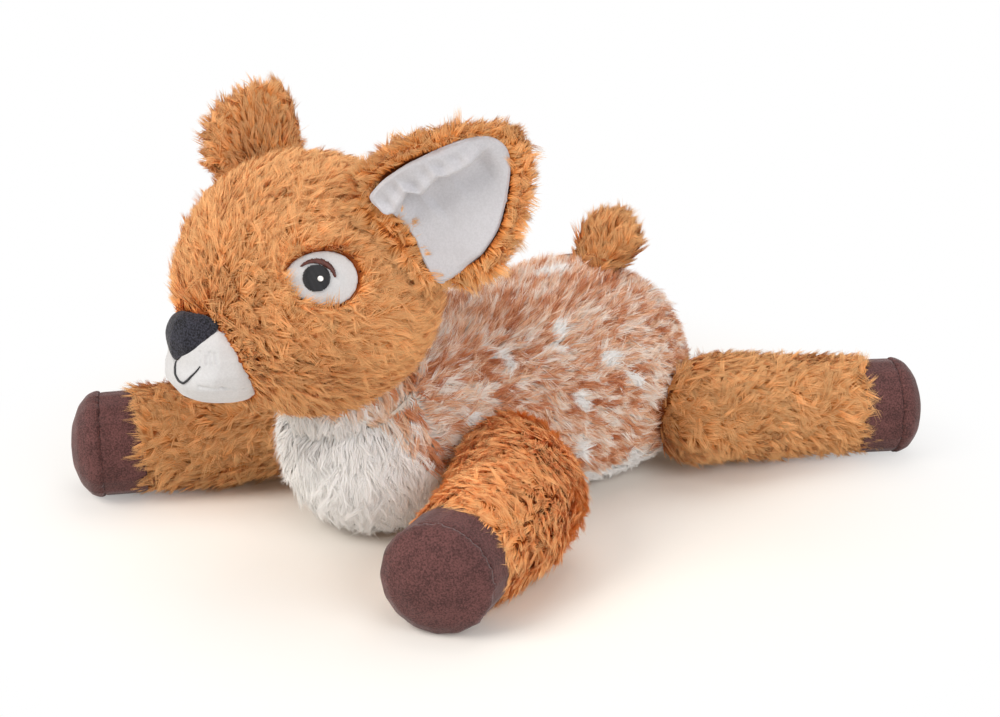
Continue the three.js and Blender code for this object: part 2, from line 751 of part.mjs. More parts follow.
const headHalves = new THREE.Vector3(headWidth, headLength, headHeight).divideScalar(2);
const neckInHead = neckPivot.clone().sub(headMiddle).applyAxisAngle(up, -radians(headYawAngle));
const snoutMiddle = new THREE.Vector3(0, -snoutForward, -snoutDrop);

function headBall(grow, sides = headSides, bands = headBands) {
  const { x, y, z } = headHalves;
  return solidOf(ellipsoid(x + grow, y + grow, z + grow, sides, bands));
}

function snoutForm(grow) {
  const snout = ellipsoid(
    snoutWidth / 2 + grow,
    snoutLength + grow,
    snoutHeight / 2 + grow,
    snoutSides,
    snoutBands
  );
  return solidOf(snout.translate(snoutMiddle.x, snoutMiddle.y, snoutMiddle.z));
}

// Everything behind the seam round the muzzle, which curves back along the cheeks
function behindMuzzle(forward) {
  const pillar = new THREE.CylinderGeometry(muzzleSeamRadius, muzzleSeamRadius, headHeight, headSides);
  pillar.rotateX(Math.PI / 2 + radians(muzzleSeamAngle));
  const halfDepth = muzzleSeamRadius / Math.cos(radians(muzzleSeamAngle));
  return solidOf(pillar.translate(0, halfDepth - muzzleSeamForward - forward, -snoutDrop));
}

// A rounded triangle that stands on its point, seen from the front
function noseRegion(grow) {
  const half = noseWidth / 2 + grow;
  const top = noseTop + grow - snoutDrop;
  const shoulder = noseShoulder - snoutDrop;
  const bottom = noseBottom - grow - snoutDrop;
  const low = shoulder - noseCorner - grow;
  const bend = bottom + noseCorner / 2;
  const outline = new THREE.Shape();
  outline.moveTo(-half, top);
  outline.lineTo(half, top);
  outline.lineTo(half, shoulder);
  outline.quadraticCurveTo(half, shoulder - noseCorner, half - noseCorner, low);
  outline.quadraticCurveTo(noseCorner, bend, 0, bottom);
  outline.quadraticCurveTo(-noseCorner, bend, noseCorner - half, low);
  outline.quadraticCurveTo(-half, shoulder - noseCorner, -half, shoulder);
  outline.lineTo(-half, top);
  const region = new THREE.ExtrudeGeometry(outline, {
    depth: headLength,
    bevelEnabled: false,
    curveSegments: 4,
  });
  return solidOf(region.rotateX(Math.PI / 2));
}

// A place on the front of the snout, lifted off it
function onSnout(across, rise, lift) {
  const wide = snoutWidth / 2 + lift;
  const tall = snoutHeight / 2 + lift;
  const flat = 1 - (across / wide) ** 2 - (rise / tall) ** 2;
  const forward = (snoutLength + lift) * Math.sqrt(Math.max(flat, 0));
  return snoutMiddle.clone().add(new THREE.Vector3(across, -forward, rise));
}

function threadAlong(points) {
  const section = new THREE.Shape();
  section.absarc(0, 0, threadRadius, 0, 2 * Math.PI);
  return solidOf(
    new THREE.ExtrudeGeometry(section, {
      extrudePath: new THREE.CatmullRomCurve3(points),
      steps: points.length + threadSteps,
      curveSegments: threadSides / 2,
    })
  );
}

function mouthStitches() {
  const lift = threadRadius + seamGap;
  const top = philtrumTop;
  const low = top - philtrumLength;
  const philtrum = Array.from({ length: threadSteps }, (_, step) => {
    return onSnout(0, THREE.MathUtils.lerp(top, low, step / (threadSteps - 1)), lift);
  });
  const smile = Array.from({ length: 2 * threadSteps - 1 }, (_, step) => {
    const share = step / (threadSteps - 1) - 1;
    return onSnout((share * smileWidth) / 2, low + smileRise * Math.abs(share) ** smileBend, lift);
  });
  return joined(threadAlong(philtrum), threadAlong(smile));
}

// Eyes

const eyeDirection = new THREE.Vector3(...eyeDirectionShares).normalize();
const eyeUp = up.clone().projectOnPlane(eyeDirection).normalize();
const eyeForward = new THREE.Vector3().crossVectors(eyeDirection, eyeUp);

// A place on the left of the head, from an offset forward and up of the eye's middle
function onEye(point, depth) {
  const direction = eyeDirection
    .clone()
    .addScaledVector(eyeForward, point.x / headHalves.x)
    .addScaledVector(eyeUp, point.y / headHalves.x)
    .normalize();
  return direction.multiply(headHalves.clone().subScalar(depth));
}

function eyePatchOutline(grow) {
  return Array.from({ length: eyePatchPoints }, (_, step) => {
    const angle = (2 * Math.PI * step) / eyePatchPoints;
    const narrow = 1 - eyePointShare * Math.cos(angle);
    const point = new THREE.Vector2(
      (eyePatchLength / 2 + grow) * Math.cos(angle),
      (eyePatchHeight / 2 + grow) * Math.sin(angle) * narrow
    );
    return point.rotateAround(new THREE.Vector2(), radians(eyePatchAngle));
  });
}

function roundOutline(forward, rise, width) {
  return Array.from({ length: irisPoints }, (_, step) => {
    const angle = (2 * Math.PI * step) / irisPoints;
    return new THREE.Vector2(forward + (width / 2) * Math.cos(angle), rise + (width / 2) * Math.sin(angle));
  });
}

// The upper lid: a crescent of thread over the iris
function lidForm(top, bottom) {
  const pointAt = (radius, step, depth) => {
    const angle = radians(THREE.MathUtils.lerp(lidStartAngle, lidEndAngle, step / lidSteps));
    const forward = irisForward + radius * Math.cos(angle);
    return onEye(new THREE.Vector2(forward, irisUp + radius * Math.sin(angle)), depth);
  };
  const lowerRadius = (step) => {
    const share = Math.sin((Math.PI * step) / lidSteps);
    return lidRadius - THREE.MathUtils.lerp(lidTipWidth, lidWidth, share);
  };
  const rings = Array.from({ length: lidSteps + 1 }, (_, step) => [
    pointAt(lowerRadius(step), step, top),
    pointAt(lidRadius, step, top),
    pointAt(lidRadius, step, bottom),
    pointAt(lowerRadius(step), step, bottom),
  ]);
  const middle = (top + bottom) / 2;
  const endAt = (step) => pointAt((lowerRadius(step) + lidRadius) / 2, step, middle);
  return skinOver(rings, endAt(0), endAt(lidSteps));
}

function eyeLayer(outline, rings, top, bottom) {
  return padOver(outline, rings, (point, face) => onEye(point, face ? top : bottom));
}

const irisTop = eyeSink - seamGap - stitchDepth;
const glintTop = irisTop - seamGap - stitchDepth;

const eyePieces = [
  {
    name: 'eye_patch',
    finish: whiteMinky,
    shape: eyeLayer(eyePatchOutline(0), eyePatchRings, eyeSink, eyeSink + eyePatchDepth),
  },
  {
    name: 'iris',
    finish: blackThread,
    shape: eyeLayer(roundOutline(irisForward, irisUp, irisWidth), 1, irisTop, irisTop + stitchDepth),
  },
  {
    name: 'eye_glint',
    finish: whiteThread,
    shape: eyeLayer(
      roundOutline(irisForward - glintBack, irisUp - glintDrop, glintWidth),
      1,
      glintTop,
      glintTop + stitchDepth
    ),
  },
  { name: 'eyelid', finish: brownThread, shape: lidForm(irisTop, irisTop + stitchDepth) },
];

// Ears

// An ear's own directions, from the shares that place it
function earOf(side) {
  const { root: rootShares, reach: reachShares, face: faceShares } = earPlaceShares[side];
  const lifted = headHalves.clone().addScalar(earRootLift);
  const pivot = new THREE.Vector3(...rootShares).normalize().multiply(lifted);
  const reach = new THREE.Vector3(...reachShares).normalize();
  const face = new THREE.Vector3(...faceShares).projectOnPlane(reach).normalize();
  return { pivot, reach, face, across: new THREE.Vector3().crossVectors(reach, face), cup: earCups[side] };
}

function earPad(ear, start, length, width, front, back) {
  return padOver(leafOutline(earOutlineShares, length, width), leafRings, (point, face) => {
    const along = point.x + start;
    const edgeShare = (2 * point.y) / earWidth;
    const curl = ear.cup * edgeShare ** 2 * Math.min(1, along / (earLength / 2));
    return ear.pivot
      .clone()
      .addScaledVector(ear.reach, along)
      .addScaledVector(ear.across, point.y)
      .addScaledVector(ear.face, (face ? front : back) + curl);
  });
}

function earRoot(ear, grow) {
  const half = (earRootLengthShare * earWidth) / 2 + grow;
  const from = ear.pivot.clone().addScaledVector(ear.across, -half);
  const to = ear.pivot.clone().addScaledVector(ear.across, half);
  return solidOf(rodBetween(from, to, earRootRadius + grow, rootSides));
}

function earBackForm(ear) {
  return solidOf(earPad(ear, 0, earLength, earWidth, earDepth / 2, -earDepth / 2));
}

// The lining, or the room for it where grow and lift are over zero
function earLiningForm(ear, grow, lift) {
  const start = earLiningStart;
  const length = earLength - start - earRimWidth;
  const width = earWidth - 2 * earRimWidth;
  const front = earDepth / 2 + earLiningRise;
  const back = front - earLiningDepth - grow;
  return solidOf(earPad(ear, start - grow, length + 2 * grow, width + 2 * grow, front + lift, back));
}

function earRooms(ear) {
  const halfAcross = earWidth / 2 + sweepGap;
  const halfDepth = earDepth / 2 + sweepGap;
  const room = flapRoom(ear.pivot, ear.reach, ear.face, halfAcross, halfDepth, earLength, earSwingAngles);
  return [earRoot(ear, socketGap), solidOf(room)];
}

function addHead() {
  const neckRoom = neckBall(neckRadius + socketGap, neckInHead);
  const ears = { left: earOf('left'), right: earOf('right') };
  const filling = joined(headBall(-furDepth, fillSides, fillBands), snoutForm(-napDepth - seamGap));
  const hollow = joined(headBall(seamGap - furDepth, fillSides, fillBands), snoutForm(-napDepth));
  const outside = joined(headBall(0), snoutForm(snoutFurDepth).intersect(behindMuzzle(0)));
  const muzzleRoom = cut(snoutForm(seamGap), behindMuzzle(0));
  const eyeRoomDepth = eyeSink + eyePatchDepth + seamGap;
  const eyeRoom = eyeLayer(eyePatchOutline(seamGap), eyePatchRings, -overrun, eyeRoomDepth);
  const rooms = [hollow, muzzleRoom, neckRoom, solidOf(eyeRoom), solidOf(mirrored(eyeRoom))];
  const cover = cut(outside, ...rooms, ...earRooms(ears.left), ...earRooms(ears.right));
  addPiece(head, 'head_cover', cover, gingerFur);
  addPiece(head, 'head_stuffing', cut(filling, neckRoom), fibreFill);
  const muzzleShell = cut(snoutForm(0), snoutForm(-napDepth), behindMuzzle(seamGap));
  addPiece(head, 'muzzle_cover', cut(muzzleShell, noseRegion(seamGap)), whiteMinky);
  addPiece(head, 'nose_patch', muzzleShell.intersect(noseRegion(0)), blackFleece);
  addPiece(head, 'mouth_stitches', mouthStitches(), blackThread);
  for (const side of ['left', 'right']) {
    const ear = ears[side];
    const placed = (geometry) => solidOf(side === 'left' ? geometry : mirrored(geometry));
    eyePieces.forEach(({ name, finish, shape }) => {
      addPiece(head, `${side}_${name}`, placed(shape), finish);
    });
    const back = cut(joined(earBackForm(ear), earRoot(ear, 0)), earLiningForm(ear, seamGap, earDepth));
    addPiece(head, `${side}_ear_back`, back, gingerFur);
    addPiece(head, `${side}_ear_lining`, earLiningForm(ear, 0, 0), whiteMinky);
  }
}

addBody();
addNeck();
legs.forEach(addLeg);
addTail();
addHead();

export default root;
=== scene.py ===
"""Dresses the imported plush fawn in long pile, minky, suede, fleece and thread."""

import json
import math

import bpy
import numpy as np
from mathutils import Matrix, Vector, kdtree, noise
from mathutils.bvhtree import BVHTree

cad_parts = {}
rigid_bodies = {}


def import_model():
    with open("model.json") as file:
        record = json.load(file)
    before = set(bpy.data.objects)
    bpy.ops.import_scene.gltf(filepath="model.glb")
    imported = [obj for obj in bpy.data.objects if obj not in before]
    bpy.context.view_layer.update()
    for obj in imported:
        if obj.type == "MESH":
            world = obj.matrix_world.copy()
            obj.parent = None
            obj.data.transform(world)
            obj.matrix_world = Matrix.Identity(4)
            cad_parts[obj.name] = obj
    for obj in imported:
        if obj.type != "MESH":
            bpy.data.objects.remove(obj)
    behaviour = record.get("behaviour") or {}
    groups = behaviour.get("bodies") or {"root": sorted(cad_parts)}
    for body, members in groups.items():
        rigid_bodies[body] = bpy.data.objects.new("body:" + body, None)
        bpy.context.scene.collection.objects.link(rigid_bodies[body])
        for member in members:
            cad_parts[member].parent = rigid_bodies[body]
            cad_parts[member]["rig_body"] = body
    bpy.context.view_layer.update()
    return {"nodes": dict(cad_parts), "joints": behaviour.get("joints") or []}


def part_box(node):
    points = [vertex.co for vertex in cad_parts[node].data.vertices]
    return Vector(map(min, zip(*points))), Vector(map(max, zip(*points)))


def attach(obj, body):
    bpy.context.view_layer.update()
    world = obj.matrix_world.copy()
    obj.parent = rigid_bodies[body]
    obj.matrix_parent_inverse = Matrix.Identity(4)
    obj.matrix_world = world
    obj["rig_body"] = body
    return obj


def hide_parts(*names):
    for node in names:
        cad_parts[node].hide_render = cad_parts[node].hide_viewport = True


bl_info = {
    "name": "Plush fawn",
    "version": (1, 0, 0),
    "blender": (4, 5, 0),
    "location": "View3D > Sidebar > Fawn",
    "description": "Covers a lying plush fawn with pile, sewn cloth and embroidery",
    "category": "Object",
}

MM = 0.001
TO_MM = 1000
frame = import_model()


def linear(text):
    """The linear colour of an sRGB hex value such as #c98a4b."""
    parts = [int(text[k : k + 2], 16) / 255 for k in (1, 3, 5)]
    return tuple(p / 12.92 if p <= 0.04045 else ((p + 0.055) / 1.055) ** 2.4 for p in parts) + (1.0,)


def length_property(name, description, default_mm):
    """A length that the user can change, given in millimetres."""
    return bpy.props.FloatProperty(
        name=name, description=description, default=default_mm * MM, min=0.0, unit="LENGTH", precision=4
    )


def colour_property(name, description, text):
    """A colour that the user can change, given as an sRGB hex value."""
    return bpy.props.FloatVectorProperty(
        name=name, description=description, default=linear(text), size=4, min=0.0, max=1.0, subtype="COLOR"
    )


class FawnPile(bpy.types.PropertyGroup):
    """Lengths of the long pile."""

    depth: length_property("Pile depth", "How far the backing cloth lies under the tips of the pile", 4.5)
    rise: length_property("Rise", "How far the tips stand above the cover's mean outline", 1.2)
    width: length_property("Fibre width", "Width of one bundle of fibres at its root", 0.36)
    tuft_gap: length_property("Tuft spacing", "Distance between neighbouring tufts", 3.1)
    ginger_reach: length_property("Ginger reach", "How far a ginger tuft leans along the cloth", 8.6)
    printed_reach: length_property("Printed reach", "How far a tuft of the printed back leans", 7.5)
    white_reach: length_property("White reach", "How far a white tuft of the chest leans", 11.0)
    rim_reach: length_property("Ear reach", "How far the pile of an ear leans", 7.0)


class FawnColours(bpy.types.PropertyGroup):
    """Colours of the cloths and threads."""

    # The ginger root colour is partly the dye and partly painted shade deep in the pile.
    ginger_root: colour_property("Ginger root", "Ginger pile beside the backing", "#bf6122")
    ginger_mid: colour_property("Ginger middle", "Ginger pile halfway up", "#f59a4c")
    ginger_tip: colour_property("Ginger tip", "Ginger pile at its tips", "#fdc384")
    print_dark: colour_property("Print dark", "Darkest print on the back", "#b3623a")
    print_red: colour_property("Print red", "Reddish print on the back", "#dc9163")
    print_tan: colour_property("Print tan", "Tan print on the back", "#f8d2ae")
    cream: colour_property("Cream", "Unprinted pile near its root", "#fbeede")
    white: colour_property("White", "White pile and the spots", "#fdfbf8")
    minky: colour_property("Minky", "Muzzle and eye patches", "#cdcdce")
    # The lining is a greyer copy of the minky: painted shade of the ears' hollows.
    lining: colour_property("Lining", "Ear linings", "#bfbec2")
    suede: colour_property("Suede", "Hooves", "#5c3b39")
    fleece: colour_property("Fleece", "Nose", "#2a2a32")
    black_thread: colour_property("Black thread", "Irises and mouth", "#1c1c20")
    brown_thread: colour_property("Brown thread", "Eyelids", "#5a2a20")
    fibre: colour_property("Fibre", "Stuffing", "#f4f2ec")
    pouch: colour_property("Pouch cloth", "Weight pouch", "#d8d2c4")


def add_node(tree, kind, inputs=None, stops=None, **settings):
    """Adds a node with its settings; an input given as a socket is linked, and any other is a value."""
    node = tree.nodes.new(kind)
    for name, value in settings.items():
        setattr(node, name, value)
    for name, value in (inputs or {}).items():
        if isinstance(value, bpy.types.NodeSocket):
            tree.links.new(value, node.inputs[name])
        else:
            node.inputs[name].default_value = value
    for number, (place, colour) in enumerate(stops or ()):
        elements = node.color_ramp.elements
        stop = elements[number] if number < len(elements) else elements.new(place)
        stop.position = place
        stop.color = colour
    return node


def empty_tree(owner):
    """The cleared node tree of a material or world."""
    owner.use_nodes = True
    owner.node_tree.nodes.clear()
    return owner.node_tree


def new_material(name):
    """A new material and its empty node tree."""
    material = bpy.data.materials.new(name)
    return material, empty_tree(material)


def add_surface(tree, inputs):
    """The Principled shader with those inputs, and the output that it goes to."""
    shader = add_node(tree, "ShaderNodeBsdfPrincipled", inputs)
    add_node(tree, "ShaderNodeOutputMaterial", {"Surface": shader.outputs["BSDF"]})


def scaled(colour, share):
    """A colour made so many times as bright, up to full."""
    return tuple(min(1.0, c * share) for c in colour[:3]) + (1.0,)


def made_once(maker):
    """Lets a material be made by the first piece that needs it and shared by the rest."""
    kept = {}

    def give():
        if maker not in kept:
            kept[maker] = maker()
        return kept[maker]

    return give


def pile_inputs(tree):
    """Place along the fibre, tuft shade, paleness of the print, and share of ginger dye."""
    pile = add_node(tree, "ShaderNodeAttribute", attribute_name="pile")
    parts = add_node(tree, "ShaderNodeSeparateColor", {"Color": pile.outputs["Color"]})
    dye = add_node(tree, "ShaderNodeAttribute", attribute_name="ginger")
    return parts.outputs["Red"], parts.outputs["Green"], parts.outputs["Blue"], dye.outputs["Fac"]


def ginger_ramp(tree, along, colours):
    """Ginger dye, dark at the root and pale at the tip of a fibre; the dark root is partly painted shade
    deep in the pile.
    """
    return add_node(
        tree,
        "ShaderNodeValToRGB",
        {"Fac": along},
        [(0.0, colours.ginger_root), (0.42, colours.ginger_mid), (0.85, colours.ginger_tip)],
    )


def shaded(tree, colour, shade, low, high):
    """Darkens or lightens a colour from low to high as the tuft's shade goes from 0 to 1."""
    level = add_node(tree, "ShaderNodeMapRange", {"Value": shade, "To Min": low, "To Max": high})
    return add_node(
        tree,
        "ShaderNodeVectorMath",
        {"Vector": colour, "Scale": level.outputs["Result"]},
        operation="SCALE",
    ).outputs["Vector"]


def pile_surface(tree, colour, shade, darkest, palest, dull):
    """Matt polyester fibre: a weak highlight, duller in dark tufts, and a faint bloom seen edge on."""
    rough = add_node(tree, "ShaderNodeMapRange", {"Value": shade, "To Min": dull, "To Max": 0.56})
    add_surface(
        tree,
        {
            "Base Color": shaded(tree, colour, shade, darkest, palest),
            "Roughness": rough.outputs["Result"],
            "Specular IOR Level": 0.25,
            "Sheen Weight": 0.06,
            "Sheen Roughness": 0.4,
        },
    )


@made_once
def ginger_pile():
    """Dyed polyester long pile: soft and matt, with darker roots, partly painted shade, between pale
    brushed tips.
    """
    colours = bpy.context.scene.fawn_colours
    material, tree = new_material("ginger_polyester_long_pile")
    along, shade, _, _ = pile_inputs(tree)
    ginger = ginger_ramp(tree, along, colours)
    pile_surface(tree, ginger.outputs["Color"], shade, 0.64, 1.08, 0.72)
    return material


@made_once
def printed_pile():
    """White long pile with brown print on its tips: cream between the tufts, and spots left white."""
    colours = bpy.context.scene.fawn_colours
    material, tree = new_material("printed_polyester_long_pile")
    along, shade, pale, dye = pile_inputs(tree)
    tips = add_node(
        tree,
        "ShaderNodeValToRGB",
        {"Fac": pale},
        [
            (0.0, colours.print_dark),
            (0.3, colours.print_red),
            (0.55, colours.print_tan),
            (0.8, colours.white),
        ],
    )
    roots = add_node(
        tree,
        "ShaderNodeMix",
        {"Factor": pale, "A": colours.cream, "B": colours.white},
        data_type="RGBA",
    )
    printed = add_node(
        tree,
        "ShaderNodeMapRange",
        {"Value": along, "From Min": 0.1, "From Max": 0.5},
        interpolation_type="SMOOTHSTEP",
    )
    cloth = add_node(
        tree,
        "ShaderNodeMix",
        {"Factor": printed.outputs["Result"], "A": roots.outputs["Result"], "B": tips.outputs["Color"]},
        data_type="RGBA",
    )
    ginger = ginger_ramp(tree, along, colours)
    both = add_node(
        tree,
        "ShaderNodeMix",
        {"Factor": dye, "A": cloth.outputs["Result"], "B": ginger.outputs["Color"]},
        data_type="RGBA",
    )
    pile_surface(tree, both.outputs["Result"], shade, 0.88, 1.08, 0.7)
    return material


def knit_backing(name, colour, pitch_mm):
    """Warp-knit backing under a pile: small loops in rows, with darker ground between them."""
    material, tree = new_material(name)
    place = add_node(tree, "ShaderNodeTexCoord")
    wales = add_node(
        tree,
        "ShaderNodeTexVoronoi",
        {"Vector": place.outputs["Object"], "Scale": 1 / (pitch_mm * MM), "Randomness": 0.6},
    )
    ground = add_node(
        tree,
        "ShaderNodeMix",
        {"Factor": wales.outputs["Distance"], "A": tuple(colour), "B": scaled(colour, 0.55)},
        data_type="RGBA",
    )
    bump = add_node(
        tree,
        "ShaderNodeBump",
        {"Height": wales.outputs["Distance"], "Strength": 0.6, "Distance": 0.3 * MM},
        invert=True,
    )
    inputs = {"Base Color": ground.outputs["Result"], "Normal": bump.outputs["Normal"], "Roughness": 0.9}
    add_surface(tree, inputs)
    return material


@made_once
def ginger_backing():
    """Dyed knit under the ginger pile in the root colour: a dark rust, partly painted shade, that only
    shows deep between the tufts.
    """
    return knit_backing("ginger_knit_backing", bpy.context.scene.fawn_colours.ginger_root, 0.9)


@made_once
def cream_backing():
    """Undyed knit under the white and the printed pile: a flat cream."""
    return knit_backing("cream_knit_backing", bpy.context.scene.fawn_colours.cream, 0.9)


def napped_cloth(name, colour, grain_mm, mottle_mm, contrast, rough, sheen, relief_mm):
    """Short nap over a knit: fine fibres that lie in soft patches, some a little lighter than others."""
    material, tree = new_material(name)
    place = add_node(tree, "ShaderNodeTexCoord")
    fine = add_node(
        tree,
        "ShaderNodeTexNoise",
        {"Vector": place.outputs["Object"], "Scale": 1 / (grain_mm * MM), "Detail": 3.0, "Roughness": 0.65},
    )
    broad = add_node(
        tree,
        "ShaderNodeTexNoise",
        {"Vector": place.outputs["Object"], "Scale": 1 / (mottle_mm * MM), "Detail": 2.0, "Roughness": 0.5},
    )
    blend = add_node(
        tree,
        "ShaderNodeMix",
        {"Factor": 0.22, "A": fine.outputs["Fac"], "B": broad.outputs["Fac"]},
        data_type="FLOAT",
    )
    stops = [(0.4, scaled(colour, 1 - contrast)), (0.6, scaled(colour, 1 + contrast))]
    ramp = add_node(tree, "ShaderNodeValToRGB", {"Fac": blend.outputs["Result"]}, stops)
    roughness = add_node(
        tree,
        "ShaderNodeMapRange",
        {"Value": broad.outputs["Fac"], "To Min": rough - 0.08, "To Max": rough + 0.08},
    )
    bump = add_node(
        tree,
        "ShaderNodeBump",
        {"Height": fine.outputs["Fac"], "Strength": 0.7, "Distance": relief_mm * MM},
    )
    add_surface(
        tree,
        {
            "Base Color": ramp.outputs["Color"],
            "Roughness": roughness.outputs["Result"],
            "Normal": bump.outputs["Normal"],
            "Specular IOR Level": 0.25,
            "Sheen Weight": sheen,
            "Sheen Roughness": 0.35,
        },
    )
    return material


@made_once
def white_minky():
    """Polyester minky with a 1 mm pile: smooth and milky, with faint brushed patches."""
    colour = bpy.context.scene.fawn_colours.minky
    return napped_cloth("white_polyester_minky", colour, 0.9, 7, 0.04, 0.8, 0.3, 0.2)


@made_once
def shaded_lining_minky():
    """The thinner minky of the ears: the same nap, painted a little greyer as the shade in the ears'
    hollows.
    """
    colour = bpy.context.scene.fawn_colours.lining
    return napped_cloth("white_polyester_minky_painted_shade", colour, 0.9, 8, 0.05, 0.8, 0.3, 0.2)


@made_once
def brown_suede():
    """Brushed polyester suede: a dull grain of lighter and darker fibre ends."""
    colour = bpy.context.scene.fawn_colours.suede
    return napped_cloth("brown_brushed_suede", colour, 0.8, 9, 0.5, 0.85, 0.25, 0.4)


@made_once
def black_fleece():
    """Black fleece: matt, with small felted grains."""
    colour = bpy.context.scene.fawn_colours.fleece
    return napped_cloth("black_felted_fleece", colour, 0.8, 6, 0.9, 0.9, 0.3, 0.6)


# A wave texture of scale 1 has this many bands in a unit.
WAVES_PER_SCALE = 20
# The plies of the embroidery thread.
PLY_MM = 0.3


def twisted_thread(name, colour, ply_mm):
    """Rayon embroidery thread: a soft gloss broken by the twist of its plies."""
    material, tree = new_material(name)
    place = add_node(tree, "ShaderNodeTexCoord")
    plies = add_node(
        tree,
        "ShaderNodeTexWave",
        {
            "Vector": place.outputs["Object"],
            "Scale": 1 / (WAVES_PER_SCALE * ply_mm * MM),
            "Distortion": 2.5,
            "Detail": 2.0,
        },
        bands_direction="DIAGONAL",
    )
    mix = add_node(
        tree,
        "ShaderNodeMix",
        {"Factor": plies.outputs["Fac"], "A": scaled(colour, 0.65), "B": tuple(colour)},
        data_type="RGBA",
    )
    bump = add_node(
        tree,
        "ShaderNodeBump",
        {"Height": plies.outputs["Fac"], "Strength": 0.5, "Distance": 0.08 * MM},
    )
    inputs = {"Base Color": mix.outputs["Result"], "Normal": bump.outputs["Normal"], "Roughness": 0.5}
    add_surface(tree, inputs)
    return material


@made_once
def black_thread():
    """Black thread of the irises and the mouth."""
    return twisted_thread("black_rayon_thread", bpy.context.scene.fawn_colours.black_thread, PLY_MM)


@made_once
def brown_thread():
    """Dark brown thread of the eyelids."""
    return twisted_thread("brown_rayon_thread", bpy.context.scene.fawn_colours.brown_thread, PLY_MM)


@made_once
def white_thread():
    """White thread of the glints."""
    return twisted_thread("white_rayon_thread", bpy.context.scene.fawn_colours.white, PLY_MM)


@made_once
def fibre_fill():
    """Loose hollow polyester fibre: white, with soft clumps a few millimetres across."""
    colour = bpy.context.scene.fawn_colours.fibre
    return napped_cloth("loose_polyester_fibre", colour, 2.5, 12, 0.12, 0.95, 0.2, 1.2)


@made_once
def pouch_cloth():
    """Undyed plain-weave cotton of the weight pouch."""
    colour = bpy.context.scene.fawn_colours.pouch
    return napped_cloth("plain_weave_cotton", colour, 0.8, 14, 0.1, 0.9, 0.1, 0.2)


def corners_of(mesh):
    """A mesh's corners in millimetres, one row each."""
    flat = np.empty(len(mesh.vertices) * 3, np.float32)
    mesh.vertices.foreach_get("co", flat)
    return flat.reshape(-1, 3).astype(float) * TO_MM


def move_corners(mesh, corners):
    """Puts a mesh's corners at places given in millimetres."""
    mesh.vertices.foreach_set("co", (corners * MM).astype(np.float32).ravel())
    mesh.update()


def new_object(name, data):
    """An object of that mesh or curve, linked to the scene."""
    made = bpy.data.objects.new(name, data)
    bpy.context.scene.collection.objects.link(made)
    return made


def middle_mm(node):
    """The middle of a CAD node's box in millimetres."""
    low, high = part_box(node)
    return np.array((low + high) / 2) * TO_MM


def triangles_of(mesh):
    """A mesh's triangles as rows of corner numbers."""
    mesh.calc_loop_triangles()
    flat = np.empty(len(mesh.loop_triangles) * 3, np.int32)
    mesh.loop_triangles.foreach_get("vertices", flat)
    return flat.reshape(-1, 3)


def search_tree(names):
    """A tree for ray and distance tests, in millimetres, of the named CAD nodes together."""
    corners, faces, count = [], [], 0
    for name in names:
        mesh = frame["nodes"][name].data
        corners.append(corners_of(mesh))
        faces.append(triangles_of(mesh) + count)
        count += len(mesh.vertices)
    return BVHTree.FromPolygons(np.concatenate(corners).tolist(), np.concatenate(faces).tolist())


BARE = ("muzzle_cover", "nose_patch", "left_eye_patch", "right_eye_patch")
LININGS = ("left_ear_lining", "right_ear_lining")
all_solids = search_tree(sorted(frame["nodes"]))


def unit(rows):
    """Each row at length one."""
    return rows / np.maximum(np.linalg.norm(rows, axis=1), 1e-9)[:, None]


def along_cloth(rows, out):
    """The part of each direction that lies along the cloth, at length one."""
    return unit(rows - (rows * out).sum(1)[:, None] * out)


def open_to_air(place, out, room):
    """True where nothing stands within room millimetres of the place, straight out from it."""
    start = place + out * 0.05
    return all_solids.ray_cast(Vector(start), Vector(out), room)[0] is None


def patches(place, size, seed):
    """A smooth random value, mostly within -0.7 to 0.7, in patches of about that size in millimetres."""
    return np.array([noise.noise(row) for row in (place / size + seed * 7.31).tolist()])


def nearness(place, nodes, reach):
    """How near each place is to the nodes, 0 from reach millimetres on to 1 on them, and the way off."""
    near = np.zeros(len(place))
    away = np.zeros((len(place), 3))
    if nodes:
        solids = search_tree(nodes)
        for number, row in enumerate(place.tolist()):
            spot, _, _, distance = solids.find_nearest(row, reach)
            if spot is not None:
                near[number] = 1 - distance / reach
                away[number] = row - np.array(spot)
    return near, away


def step_up(value, low, high):
    """0 below low and 1 above high, with a smooth rise between."""
    t = ((value - low) / (high - low)).clip(0, 1)
    return t * t * (3 - 2 * t)


